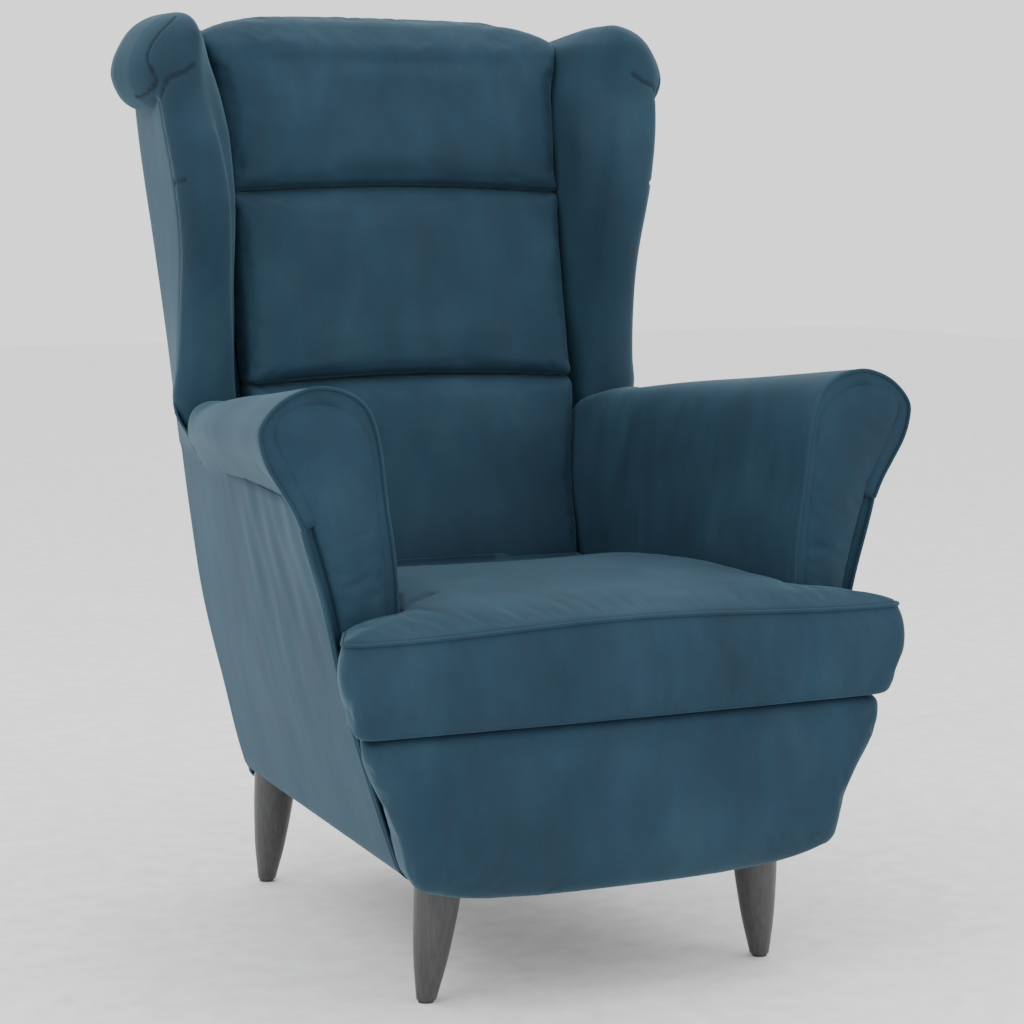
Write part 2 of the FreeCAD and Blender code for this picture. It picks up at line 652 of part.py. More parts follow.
def scroll_roll(distance):
    """Roll on top of the wing, rounded in front and tapering to the back, moved inwards."""
    rings = []
    for x, y, z, radius in SCROLL:
        rings.append(Part.Wire(Part.makeCircle(radius - distance, Vector(x, y, z), Vector(0, 1, 0))))
    return Part.makeLoft(rings, True, True)


wing_foam = Part.makeLoft([wing_foam_section(z) for z in WING_HEIGHTS], True, False)
shoulder = box((226, 205, WING_TOP_Z), (SCROLL[0][0], 330, 1046)).cut(scroll_roll(-GAP))
shoulder = min(shoulder.Solids, key=lambda s: s.CenterOfMass.x)
wing_soft = wing_foam.cut(wing_former)
save_pair("wing_foam", Part.makeCompound([wing_soft, shoulder, scroll_roll(FABRIC + GAP)]))
save_pair("wing_former", wing_former.cut(screw_bores))
save("wing_screws", both(wing_screw(z) for z in WING_SCREW_ZS))
scroll_tube = scroll_roll(0).cut(scroll_roll(FABRIC))
wing_band = Part.makeLoft([wing_cover_section(z) for z in WING_HEIGHTS], True, False)
save_pair("wing_cover", Part.makeCompound([wing_band, scroll_tube]))

# ---------------------------------------------------------------- back


def leaning_slab(low_x, high_x, low_z, high_z, front, back):
    """Block that leans with the outer back, between two depths behind or before its surface."""
    corners = []
    for z, depth in ((low_z, front), (low_z, back), (high_z, back), (high_z, front)):
        corners.append((low_x, back_plane(z) + depth, z))
    return prism(corners, (high_x - low_x, 0, 0))


post = leaning_slab(POST_INNER_X, REAR_HALF, BLOCK_TOP_Z, POST_TOP_Z, POST_FRONT, POST_BACK)
save_pair("back_post", post.cut(dowel_bores))
BACK_RAILS = {"bottom": (332, 380), "middle": (600, 648), "top": (974, POST_TOP_Z)}
for name, (low_z, high_z) in BACK_RAILS.items():
    rail = leaning_slab(-POST_INNER_X, POST_INNER_X, low_z, high_z, POST_FRONT + 4, POST_FRONT + 28)
    save("back_%s_rail" % name, [rail])
WEB_ZS = [400.0 + 82.0 * i for i in range(7)]
straps = [leaning_slab(-198, 198, z, z + 50, POST_FRONT - 2.4, POST_FRONT) for z in WEB_ZS]
save("back_webbing", straps)

blocks = []
for low_z in (536, 700, 880):
    block = leaning_slab(REAR_HALF, 290, low_z, low_z + 26, POST_FRONT + 6, POST_BACK - 4)
    if low_z < WING_BOTTOM_Z:
        block = block.common(box((0, 0, 0), (226, TOP_RAIL_REAR_Y + 60, 2000)))
    else:
        block = min(block.cut(wing_former).Solids, key=lambda s: s.CenterOfMass.x)
    blocks.append(block.cut(screw_bores))
save("wing_spacer_blocks", both(blocks))


def channel_section(z, crown, distance, depth_to):
    """Crowned front edge of a back channel at a height, and its four corners from the front left."""
    half = along(CHANNEL_HALF, z) - distance
    side_y = along(BACK_FRONT_Y, z) + distance
    left = Vector(-half, side_y, z)
    right = Vector(half, side_y, z)
    front = Part.Arc(left, Vector(0, side_y - crown, z), right).toShape()
    return front, [left, right, Vector(half, depth_to, z), Vector(-half, depth_to, z)]


def channel_heights(low_z, high_z):
    """Heights of a channel's sections, with its crown at each."""
    span = high_z - low_z
    return [
        (low_z, 2.0), (low_z + 0.12 * span, CHANNEL_CROWN * 0.8),
        (low_z + 0.5 * span, CHANNEL_CROWN),
        (high_z - 0.1 * span, CHANNEL_CROWN * 0.9), (high_z, 3.0)]


def channel_foam(low_z, high_z):
    """Foam of one channel, back to the webbing."""
    sections = []
    for z, crown in channel_heights(low_z, high_z):
        rear_y = back_plane(z) + POST_FRONT - 2.7
        front, corners = channel_section(z, crown, FABRIC + GAP, rear_y)
        rest = corners[1:] + corners[:1]
        edges = [front] + [Part.makeLine(a, b) for a, b in zip(rest, rest[1:])]
        sections.append(Part.Wire(edges))
    return Part.makeLoft(sections, True, True)


def channel_cover(low_z, high_z):
    """Fabric over one channel: its front and its two sides."""
    sections = []
    for z, crown in channel_heights(low_z, high_z):
        rear_y = along(BACK_FRONT_Y, z) + 34
        front, (left, right, rear_right, rear_left) = channel_section(z, crown, 0, rear_y)
        inner_front, inner = channel_section(z, crown, FABRIC, rear_y)
        right_side = [right, rear_right, inner[2], inner[1]]
        left_side = [inner[0], inner[3], rear_left, left]
        edges = [front, inner_front]
        for side in (right_side, left_side):
            edges += [Part.makeLine(a, b) for a, b in zip(side, side[1:])]
        sections.append(Part.Wire(Part.__sortEdges__(edges)))
    return Part.makeLoft(sections, True, True)


TOP_LOW_Z = 1030.0
TOP_HALF = 218.0


def top_path(distance):
    """Front, crown and rear of the pad over the top of the back."""
    front_y = along(BACK_FRONT_Y, TOP_LOW_Z) - 3 + distance
    rear_y = back_plane(TOP_LOW_Z) - 5.4 - distance
    top = BACK_TOP_Z - distance
    return [
        (0, front_y, TOP_LOW_Z), (0, front_y + 6, top - 14), (0, front_y + 26, top - 1),
        (0, front_y + 55, top), (0, rear_y - 20, top - 4), (0, rear_y, top - 22),
        (0, rear_y + 1, TOP_LOW_Z)]


top_outer = top_path(FABRIC + GAP)
top_edges = [spline(top_outer), Part.makeLine(Vector(*top_outer[-1]), Vector(*top_outer[0]))]
top_foam = Part.Face(Part.Wire(top_edges)).extrude(Vector(2 * TOP_HALF - 6, 0, 0))
top_foam.translate(Vector(-TOP_HALF + 3, 0, 0))
top_skin_edges = [
    spline(top_path(0)),
    Part.makeLine(Vector(*top_path(0)[-1]), Vector(*top_path(FABRIC)[-1])),
    spline(top_path(FABRIC)[::-1]),
    Part.makeLine(Vector(*top_path(FABRIC)[0]), Vector(*top_path(0)[0]))]
top_skin = Part.Face(Part.Wire(top_skin_edges)).extrude(Vector(2 * TOP_HALF, 0, 0))
top_skin.translate(Vector(-TOP_HALF, 0, 0))

for name, (low_z, high_z) in CHANNELS.items():
    foam = channel_foam(low_z, high_z)
    save("back_foam_" + name, [foam, top_foam] if name == "upper" else [foam])
covers = [channel_cover(low_z, high_z) for low_z, high_z in CHANNELS.values()]
save("back_cover", covers + [top_skin])

BACK_OUTLINE = [
    (209, 162), (232, 260), (250, 357), (260, 455), (276, 662), (295, 905), (299, 965), (300, 1005),
    (290, 1034), (264, 1045), (240, 1044), (218, 1050)]


def back_panel(points, depth, thickness):
    """Flat panel on the leaning outer back."""
    right = [(x, back_plane(z) + depth, z) for x, z in points]
    left = [(-x, y, z) for x, y, z in right[::-1]]
    return prism(right + left, (0, thickness, 0))


save("outer_back_cover", [back_panel(BACK_OUTLINE, -FABRIC, FABRIC)])
board_outline = [(x - 5, z) for x, z in BACK_OUTLINE[:-4]] + [(284, 1022)]
save("outer_back_board", [back_panel(board_outline, -5.0, 3.0)])

dust_cover = prism([
    (-226, FRONT_RAIL_Y + 2, BASE_Z - 1.8), (226, FRONT_RAIL_Y + 2, BASE_Z - 1.8),
    (202, 266, BASE_Z - 1.8), (-202, 266, BASE_Z - 1.8)], (0, 0, 1.4))
for leg in LEGS.values():
    hole = hanger_bolt(leg, BOLT_R + 0.6)
    dust_cover = dust_cover.cut(hole).cut(mirrored(hole))
save("dust_cover", [dust_cover])
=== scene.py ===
import json
import math

import bmesh
import bpy
import numpy as np
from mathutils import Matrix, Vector
from mathutils.kdtree import KDTree


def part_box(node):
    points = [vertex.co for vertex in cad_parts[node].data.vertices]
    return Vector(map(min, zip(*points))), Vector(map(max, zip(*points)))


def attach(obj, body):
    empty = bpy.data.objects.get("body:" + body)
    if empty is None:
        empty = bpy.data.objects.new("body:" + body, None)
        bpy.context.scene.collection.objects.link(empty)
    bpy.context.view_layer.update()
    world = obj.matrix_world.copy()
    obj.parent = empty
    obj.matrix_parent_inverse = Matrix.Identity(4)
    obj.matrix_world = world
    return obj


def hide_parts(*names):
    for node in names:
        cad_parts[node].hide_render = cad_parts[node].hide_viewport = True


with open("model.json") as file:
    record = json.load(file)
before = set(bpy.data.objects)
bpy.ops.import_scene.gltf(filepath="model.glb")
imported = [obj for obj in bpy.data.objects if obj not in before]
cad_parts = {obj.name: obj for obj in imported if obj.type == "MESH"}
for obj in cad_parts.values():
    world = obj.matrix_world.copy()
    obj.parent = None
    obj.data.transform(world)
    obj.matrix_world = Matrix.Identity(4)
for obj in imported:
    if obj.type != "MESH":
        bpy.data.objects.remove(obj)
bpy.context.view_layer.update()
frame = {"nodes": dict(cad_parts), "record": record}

# Wing armchair. Tables are in millimetres in the frame's axes: X to the right as seen from the
# front, Y to the back, Z up. Every pair of pieces is made on the right side and mirrored.
MM = 0.001
SIDES = {"right": 1, "left": -1}


def corners(node):
    """Lowest and highest corner of a CAD node, in millimetres."""
    low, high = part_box(node)
    return [v / MM for v in low], [v / MM for v in high]


# ------------------------------------------------------------------ curves and tables

def table(rows, at):
    """Smooth value of (position, value...) rows at a position."""
    keys = [row[0] for row in rows]
    values = np.array([row[1:] for row in rows], float)
    slopes = np.gradient(values, np.array(keys, float), axis=0)
    at = min(max(at, keys[0]), keys[-1])
    i = min(int(np.searchsorted(keys, at, side="right")) - 1, len(keys) - 2)
    span = keys[i + 1] - keys[i]
    t = (at - keys[i]) / span
    found = (
        (2 * t ** 3 - 3 * t ** 2 + 1) * values[i] + (t ** 3 - 2 * t ** 2 + t) * slopes[i] * span
        + (3 * t ** 2 - 2 * t ** 3) * values[i + 1] + (t ** 3 - t ** 2) * slopes[i + 1] * span)
    return float(found[0]) if len(found) == 1 else found


def smooth(low, high, value):
    """0 below low, 1 above high, and a smooth step between."""
    t = np.clip((np.asarray(value, float) - low) / (high - low), 0, 1)
    return t * t * (3 - 2 * t)


def resampled(points, count):
    """Points of an open polyline spread evenly along it."""
    p = np.array(points, float)
    run = np.concatenate([[0], np.cumsum(np.linalg.norm(np.diff(p, axis=0), axis=1))])
    at = np.linspace(0, run[-1], count)
    return np.stack([np.interp(at, run, p[:, i]) for i in range(p.shape[1])], axis=1)


def curve(points, count):
    """Smooth open curve through points, as evenly spread points."""
    p = np.array(points, float)
    p = np.concatenate([[2 * p[0] - p[1]], p, [2 * p[-1] - p[-2]]])
    fine = []
    for a, b, c, d in zip(p, p[1:], p[2:], p[3:]):
        for t in np.linspace(0, 1, 16, endpoint=False):
            fine.append(0.5 * (
                2 * b + (c - a) * t + (2 * a - 5 * b + 4 * c - d) * t ** 2
                + (3 * b - 3 * c + d - a) * t ** 3))
    return resampled(fine + [p[-2]], count)


def inset(points, distance):
    """Open path in a plane, moved to the right of its own direction."""
    p = np.array(points, float)
    along = np.gradient(p, axis=0)
    along /= np.linalg.norm(along, axis=1)[:, None]
    return p + distance * np.stack([along[:, 1], -along[:, 0]], axis=1)


def back_plane(z):
    """Y of the outer back surface at a height."""
    return 274 + 0.1385 * (z - 164)


# ------------------------------------------------------------------ mesh building

def piece(name, verts, faces, side=1):
    """Object from points in millimetres, mirrored for the left side, riding on the chair."""
    mesh = bpy.data.meshes.new(name)
    mesh.from_pydata([(x * side * MM, y * MM, z * MM) for x, y, z in verts], [], faces)
    work = bmesh.new()
    work.from_mesh(mesh)
    bmesh.ops.remove_doubles(work, verts=work.verts, dist=0.02 * MM)
    bmesh.ops.recalc_face_normals(work, faces=work.faces)
    work.to_mesh(mesh)
    work.free()
    mesh.shade_smooth()
    made = bpy.data.objects.new(name, mesh)
    bpy.context.scene.collection.objects.link(made)
    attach(made, "root")
    return made


def grid_faces(rows, columns, wrap=False, start=0):
    """Quads between rows of points."""
    faces = []
    last = columns if wrap else columns - 1
    for r in range(rows - 1):
        for c in range(last):
            a = start + r * columns + c
            b = start + r * columns + (c + 1) % columns
            faces.append((a, b, b + columns, a + columns))
    return faces


def tube_faces(rings, count, start=0):
    """Closed rings joined in order, with both ends closed."""
    ends = [tuple(start + i for i in range(count))]
    ends.append(tuple(start + (rings - 1) * count + i for i in range(count)))
    return grid_faces(rings, count, wrap=True, start=start) + ends


def loft(name, rings, side=1):
    """Closed body through closed rings of the same number of points."""
    verts = [tuple(p) for ring in rings for p in ring]
    return piece(name, verts, tube_faces(len(rings), len(rings[0])), side)


def cord_mesh(name, path, radius, side=1, around=8):
    """Round welt along a path, with closed rounded ends."""
    p = np.array(path, float)
    along = np.gradient(p, axis=0)
    along /= np.linalg.norm(along, axis=1)[:, None]
    across = np.cross(along[0], (0.3, 0.5, 0.8))
    rings = []
    sizes = np.ones(len(p))
    sizes[0] = sizes[-1] = 0.45
    for point, direction, size in zip(p, along, sizes):
        across = across - direction * np.dot(across, direction)
        across /= np.linalg.norm(across)
        other = np.cross(direction, across)
        turns = np.linspace(0, 2 * math.pi, around, endpoint=False)
        rings.append([point + radius * size * (math.cos(t) * across + math.sin(t) * other) for t in turns])
    return loft(name, rings, side)


def points_of(mesh):
    """Places of a mesh's points, in millimetres."""
    co = np.empty(len(mesh.vertices) * 3, np.float32)
    mesh.vertices.foreach_get("co", co)
    return co.reshape(-1, 3).astype(float) / MM


def set_points(mesh, co):
    """Move a mesh's points to places in millimetres."""
    mesh.vertices.foreach_set("co", (np.asarray(co) * MM).astype(np.float32).ravel())
    mesh.update()


def normals_of(mesh):
    """Directions in which a mesh's points face."""
    found = np.empty(len(mesh.vertices) * 3, np.float32)
    mesh.vertex_normals.foreach_get("vector", found)
    return found.reshape(-1, 3).astype(float)


def apply_modifiers(made):
    """Replace an object's mesh by its mesh with modifiers."""
    graph = bpy.context.evaluated_depsgraph_get()
    mesh = bpy.data.meshes.new_from_object(made.evaluated_get(graph))
    made.modifiers.clear()
    made.data = mesh
    mesh.shade_smooth()


def remesh(made, voxel):
    """Even quads over the outside of a body, or of several bodies that overlap."""
    change = made.modifiers.new("even", "REMESH")
    change.mode = "VOXEL"
    change.voxel_size = voxel * MM
    apply_modifiers(made)


def pull_of(mesh):
    """Function that gives the way from each point to the middle of its neighbours."""
    edges = np.empty(len(mesh.edges) * 2, np.int32)
    mesh.edges.foreach_get("vertices", edges)
    a, b = edges.reshape(-1, 2).T
    size = len(mesh.vertices)
    count = np.maximum(np.bincount(a, minlength=size) + np.bincount(b, minlength=size), 1)

    def pull(co):
        total = np.stack([
            np.bincount(a, co[b, i], size) + np.bincount(b, co[a, i], size) for i in range(3)], 1)
        return total / count[:, None] - co

    return pull


# Share of the way to its neighbours' middle that a point moves in one step, and back in the next
SMOOTHING = 0.6
SWELLING = 0.62


def relax(made, times):
    """Smooth a mesh without shrinking it."""
    co = points_of(made.data)
    pull = pull_of(made.data)
    for _ in range(times):
        co = co + SMOOTHING * pull(co)
        co = co - SWELLING * pull(co)
    set_points(made.data, co)


def blend(made, weight, times):
    """Smooth away creases where weight(co) is above 0."""
    co = points_of(made.data)
    share = np.clip(weight(co), 0, 1)[:, None]
    pull = pull_of(made.data)
    for _ in range(times):
        co = co + SMOOTHING * share * pull(co)
    set_points(made.data, co)


def subdivide(made):
    """Split each quad in four and round the mesh."""
    change = made.modifiers.new("finer", "SUBSURF")
    change.levels = change.render_levels = 1
    apply_modifiers(made)


# Frames that a pad's cloth simulation runs
SWELL_FRAMES = 20


def inflate(made, limit, hold, pressure, fullness):
    """Swell a pad by cloth simulation, by up to a limit.

    hold(co) says how far each point is held, from 0 to 1, and fullness is how much larger the
    cloth is than the pad.
    """
    mesh = made.data
    start = points_of(mesh)
    held = np.clip(hold(start), 0, 1)
    group = made.vertex_groups.new(name="held")
    for i in np.nonzero(held > 0.01)[0]:
        group.add([int(i)], float(held[i]), "REPLACE")
    cloth = made.modifiers.new("cloth", "CLOTH")
    settings = cloth.settings
    settings.quality = 5
    settings.mass = 0.3
    settings.tension_stiffness = settings.compression_stiffness = 12
    settings.shear_stiffness = 6
    settings.bending_stiffness = 0.6
    settings.use_pressure = True
    settings.uniform_pressure_force = pressure
    settings.effector_weights.gravity = 0
    settings.vertex_group_mass = "held"
    settings.pin_stiffness = 1.0
    settings.shrink_min = -fullness
    cloth.collision_settings.use_collision = False
    cloth.point_cache.frame_start = 1
    cloth.point_cache.frame_end = SWELL_FRAMES
    for number in range(1, SWELL_FRAMES + 1):
        bpy.context.scene.frame_set(number)
    graph = bpy.context.evaluated_depsgraph_get()
    moved = points_of(made.evaluated_get(graph).data) - start
    made.modifiers.clear()
    made.vertex_groups.clear()
    far = np.linalg.norm(moved, axis=1)
    share = limit * np.tanh(far / limit) / np.maximum(far, 1e-6)
    set_points(mesh, start + moved * share[:, None])
    bpy.context.scene.frame_set(1)


def tree_of(points):
    """Search tree over points."""
    tree = KDTree(len(points))
    for i, p in enumerate(points):
        tree.insert(Vector(p), i)
    tree.balance()
    return tree


# Spacing of the points along a groove, in millimetres
GROOVE_STEP = 1.5


def grooved(made, lines, width, depth, shade_share=1.0):
    """Press lines into a mesh and paint shade into them through its seam attribute."""
    mesh = made.data
    co = points_of(mesh)
    normals = normals_of(mesh)
    mark = np.zeros(len(co))
    surface = tree_of(co)
    for line in lines:
        length = np.linalg.norm(np.diff(line, axis=0), axis=1).sum()
        points = curve(line, int(length / GROOVE_STEP))
        points = np.array([surface.find(Vector(p))[0] for p in points])
        tree = tree_of(points)
        low, high = points.min(0) - 3 * width, points.max(0) + 3 * width
        near = np.nonzero(((co > low) & (co < high)).all(1))[0]
        for i in near:
            away = tree.find(Vector(co[i]))[2]
            mark[i] = max(mark[i], math.exp(-(away / width) ** 2))
    set_points(mesh, co - normals * (depth * mark)[:, None])
    # The seam attribute holds painted shade: it darkens the velvet in pressed seams, folds and pleats.
    attribute = mesh.attributes.get("seam") or mesh.attributes.new("seam", "FLOAT", "POINT")
    before = np.empty(len(co), np.float32)
    attribute.data.foreach_get("value", before)
    attribute.data.foreach_set("value", np.maximum(before, shade_share * mark).astype(np.float32))


# ------------------------------------------------------------------ materials

def nodes_for(name):
    """New material with its node tree and its shader."""
    made = bpy.data.materials.new(name)
    made.use_nodes = True
    tree = made.node_tree
    return made, tree, tree.nodes["Principled BSDF"]


def node(tree, kind, **values):
    """Node with its properties and its inputs set by name."""
    made = tree.nodes.new(kind)
    for key, value in values.items():
        if key in made.inputs:
            made.inputs[key].default_value = value
        else:
            setattr(made, key, value)
    return made


def noise(tree, place, scale, detail=4.0, roughness=0.5, stretch=(1, 1, 1)):
    """Noise in the chair's own metres, stretched along its axes."""
    mapping = node(tree, "ShaderNodeMapping")
    mapping.inputs["Scale"].default_value = stretch
    tree.links.new(place, mapping.inputs["Vector"])
    made = node(tree, "ShaderNodeTexNoise", Scale=scale, Detail=detail, Roughness=roughness)
    tree.links.new(mapping.outputs["Vector"], made.inputs["Vector"])
    return made.outputs["Fac"]


def ramp(tree, value, stops):
    """Colours or greys by value."""
    made = node(tree, "ShaderNodeValToRGB")
    bar = made.color_ramp
    while len(bar.elements) < len(stops):
        bar.elements.new(0.5)
    for element, (at, colour) in zip(bar.elements, stops):
        element.position = at
        element.color = (*colour, 1)
    tree.links.new(value, made.inputs["Fac"])
    return made.outputs["Color"]


def mixed(tree, kind, share, a, b):
    """Two colours mixed by a share, which is a number or a socket."""
    made = node(tree, "ShaderNodeMix", data_type="RGBA", blend_type=kind)
    for value, socket in ((share, made.inputs[0]), (a, made.inputs[6]), (b, made.inputs[7])):
        if isinstance(value, bpy.types.NodeSocket):
            tree.links.new(value, socket)
        else:
            socket.default_value = value
    return made.outputs[2]


def bumped(tree, shader, heights):
    """Bumps one on another: (height socket, strength, distance in metres)."""
    normal = None
    for height, strength, distance in heights:
        made = node(tree, "ShaderNodeBump", Strength=strength, Distance=distance)
        tree.links.new(height, made.inputs["Height"])
        if normal is not None:
            tree.links.new(normal, made.inputs["Normal"])
        normal = made.outputs["Normal"]
    tree.links.new(normal, shader.inputs["Normal"])


def place_of(tree):
    """Socket with the place on the chair, in metres."""
    return node(tree, "ShaderNodeTexCoord").outputs["Object"]


VELVET_DARK = (0.0065, 0.0245, 0.0430)
VELVET_MID = (0.0090, 0.0330, 0.0560)
VELVET_LIGHT = (0.0150, 0.0460, 0.0710)
# Colour of the painted shade in pressed seams, folds and pleats
SEAM_SHADE = (0.004, 0.012, 0.022, 1)
SHEEN_TINT = (0.36, 0.62, 0.76, 1)


def velvet():
    """Short teal pile: brushed patches, a fine nap, a pale sheen at grazing angles, and painted shade in
    seams, folds and pleats.
    """
    made, tree, shader = nodes_for("velvet")
    place = place_of(tree)
    patches = noise(tree, place, 9.0, 5.0, 0.55, (1, 1, 0.7))
    strokes = noise(tree, place, 26.0, 4.0, 0.6, (1.6, 1.6, 0.35))
    pile = noise(tree, place, 900.0, 2.0, 0.6)
    colour = ramp(tree, patches, [(0.30, VELVET_DARK), (0.52, VELVET_MID), (0.74, VELVET_LIGHT)])
    stroke_colour = ramp(tree, strokes, [(0.30, (0.80, 0.82, 0.84)), (0.70, (1.18, 1.16, 1.14))])
    colour = mixed(tree, "MULTIPLY", 0.8, colour, stroke_colour)
    pile_colour = ramp(tree, pile, [(0.30, (0.88, 0.88, 0.88)), (0.70, (1.10, 1.10, 1.10))])
    colour = mixed(tree, "MULTIPLY", 0.6, colour, pile_colour)
    # Painted shade: the seam attribute mixes a dark colour in along pressed seams, folds and pleats.
    seam = node(tree, "ShaderNodeAttribute", attribute_name="seam").outputs["Fac"]
    colour = mixed(tree, "MIX", seam, colour, SEAM_SHADE)
    tree.links.new(colour, shader.inputs["Base Color"])
    rough = ramp(tree, strokes, [(0.3, (0.72, 0.72, 0.72)), (0.7, (0.86, 0.86, 0.86))])
    tree.links.new(rough, shader.inputs["Roughness"])
    shader.inputs["Specular IOR Level"].default_value = 0.25
    shader.inputs["Sheen Weight"].default_value = 0.19
    shader.inputs["Sheen Roughness"].default_value = 0.38
    shader.inputs["Sheen Tint"].default_value = SHEEN_TINT
    bumped(tree, shader, [(strokes, 0.25, 0.0012), (pile, 0.35, 0.0004)])
    return made


def grainy(name, dark, light, rough, scale, stretch, strength=0.3, distance=0.0003, **inputs):
    """Material whose colour, roughness and relief follow one stretched noise and one fine noise."""
    made, tree, shader = nodes_for(name)
    place = place_of(tree)
    grain = noise(tree, place, scale, 8.0, 0.6, stretch)
    fine = noise(tree, place, scale * 9, 3.0, 0.6, stretch)
    colour = ramp(tree, grain, [(0.32, dark), (0.68, light)])
    shade = ramp(tree, fine, [(0.3, (0.86, 0.86, 0.86)), (0.7, (1.08, 1.08, 1.08))])
    tree.links.new(mixed(tree, "MULTIPLY", 0.7, colour, shade), shader.inputs["Base Color"])
    greys = [(0.3, (rough - 0.07,) * 3), (0.7, (rough + 0.07,) * 3)]
    tree.links.new(ramp(tree, grain, greys), shader.inputs["Roughness"])
    bumped(tree, shader, [(grain, strength, distance), (fine, strength, distance / 3)])
    for key, value in inputs.items():
        shader.inputs[key.replace("_", " ")].default_value = value
    return made


def woven(name, dark, light, pitch, rough=0.8):
    """Plain weave of threads a pitch apart, in metres."""
    made, tree, shader = nodes_for(name)
    place = place_of(tree)
    waves = []
    for direction in ("X", "Z"):
        wave = node(tree, "ShaderNodeTexWave", Scale=0.5 / pitch, Distortion=0.4)
        wave.bands_direction = direction
        tree.links.new(place, wave.inputs["Vector"])
        waves.append(wave.outputs["Fac"])
    weave = mixed(tree, "MULTIPLY", 0.6, waves[0], waves[1])
    patches = noise(tree, place, 40.0)
    colour = ramp(tree, weave, [(0.2, dark), (0.8, light)])
    shade = ramp(tree, patches, [(0.3, (0.85, 0.85, 0.85)), (0.7, (1.1, 1.1, 1.1))])
    tree.links.new(mixed(tree, "MULTIPLY", 0.8, colour, shade), shader.inputs["Base Color"])
    shader.inputs["Roughness"].default_value = rough
    bumped(tree, shader, [(weave, 0.5, 0.0005)])
    return made


MATERIALS = {
    "velvet": velvet(),
    "leg_lacquer": grainy(
        "leg_lacquer", (0.026, 0.026, 0.027), (0.055, 0.055, 0.057), 0.42, 34.0, (9, 9, 0.5),
        0.25, 0.00015, Specular_IOR_Level=0.5),
    "frame_timber": grainy(
        "frame_timber", (0.42, 0.27, 0.14), (0.66, 0.47, 0.28), 0.62, 22.0, (0.4, 6, 6)),
    "plywood": grainy("plywood", (0.46, 0.33, 0.19), (0.70, 0.55, 0.36), 0.66, 30.0, (4, 0.5, 4)),
    "hardboard": grainy(
        "hardboard", (0.13, 0.075, 0.040), (0.24, 0.150, 0.085), 0.72, 160.0, (1, 1, 1)),
    "foam": grainy(
        "foam", (0.62, 0.60, 0.50), (0.80, 0.78, 0.68), 0.92, 420.0, (1, 1, 1), 0.6, 0.0006),
    "felt": grainy(
        "felt", (0.10, 0.10, 0.11), (0.30, 0.30, 0.31), 0.95, 300.0, (1, 1, 1), 0.7, 0.0008),
    "webbing": woven("webbing", (0.035, 0.033, 0.030), (0.20, 0.19, 0.17), 0.0016),
    "dust_cloth": woven("dust_cloth", (0.012, 0.012, 0.013), (0.045, 0.045, 0.048), 0.0009, 0.9),
    "zinc_steel": grainy(
        "zinc_steel", (0.42, 0.43, 0.44), (0.62, 0.63, 0.64), 0.34, 120.0, (1, 1, 1), 0.1, 0.0001,
        Metallic=1.0),
    "glide_plastic": grainy(
        "glide_plastic", (0.020, 0.020, 0.021), (0.040, 0.040, 0.042), 0.5, 240.0, (1, 1, 1),
        0.2, 0.0001),
    "clip_plastic": grainy(
        "clip_plastic", (0.55, 0.55, 0.52), (0.70, 0.70, 0.67), 0.5, 240.0, (1, 1, 1), 0.2, 0.0001),
}


def finish_piece(made, slot, *nodes, fill=None):
    """Material, slot and CAD nodes of a piece; fill is not used."""
    made.data.materials.clear()
    made.data.materials.append(MATERIALS[slot])
    made.data.shade_smooth()
    if nodes:
        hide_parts(*nodes)


# ------------------------------------------------------------------ seat cushion

SEAT_FRONT_Y = -395
SEAT_FRONT_HALF = 325
SEAT_EAR_HALF = 297
SEAT_CORNER = 18
SEAT_BOTTOM_Z = 306
EAR_BACK_Y = -305.5


def plan_front(half, back_half, back_y, mid_y, radius, count=150, bow=5):
    """Front in plan from the left side to the right: slightly bowed, rounded corners, tapering sides."""
    side_y = mid_y + bow
    shoulder = half - radius
    quarter = np.linspace(0, math.pi / 2, 12)
    path = [(back_half, back_y)]
    path += [(shoulder + radius * math.cos(t), side_y + radius - radius * math.sin(t)) for t in quarter]
    path += [(x, side_y - bow * (1 - (x / shoulder) ** 2)) for x in np.linspace(shoulder, 0, 24)[1:]]
    path = [(-x, y) for x, y in path] + [(x, y) for x, y in path[-2::-1]]
    return resampled(path, count)


def seat_front(count, grow=0.0):
    """Front of the seat in plan, from one ear round to the other."""
    return plan_front(
        SEAT_FRONT_HALF + grow, SEAT_EAR_HALF + grow, EAR_BACK_Y - 3, SEAT_FRONT_Y - grow, SEAT_CORNER, count)


def seat_seam_z(x):
    """Height of the piping, which rises over the middle of the seat."""
    return 405 + 8.8 * (1 - smooth(0, 290, abs(x)))


def seat_outline():
    """T-shaped outline in plan, closed."""
    right = [
        (SEAT_EAR_HALF - 3, EAR_BACK_Y), (240, EAR_BACK_Y), (235, EAR_BACK_Y + 5),
        (197, 108), (190, 119), (178, 121)]
    rest = [tuple(p) for p in resampled(right, 90)]
    back = [(x, 121) for x in np.linspace(172, -172, 50)]
    left = [(-x, y) for x, y in rest[::-1]]
    return np.array([tuple(p) for p in seat_front(170)] + rest + back + left)


# Level of the boxing: share of its height, how far it stands out at the ears and at the front
SEAT_LEVELS = [
    (0, -19, -5), (0.01, -14, 0), (0.05, -10, 3), (0.15, -7, 6), (0.32, -3, 8.5), (0.5, 4, 9), (0.66, 6, 8),
    (0.8, 5, 6), (0.91, 3, 3), (0.97, 1, 0.5), (1.0, 0, 0), (1.03, -1, -1), (1.07, -6, -6)]
# Place from front to back and height of the seat's top along its middle
SEAT_CROWN = [(-400, 424), (-380, 424), (-300, 427), (-150, 431), (0, 421), (130, 402)]
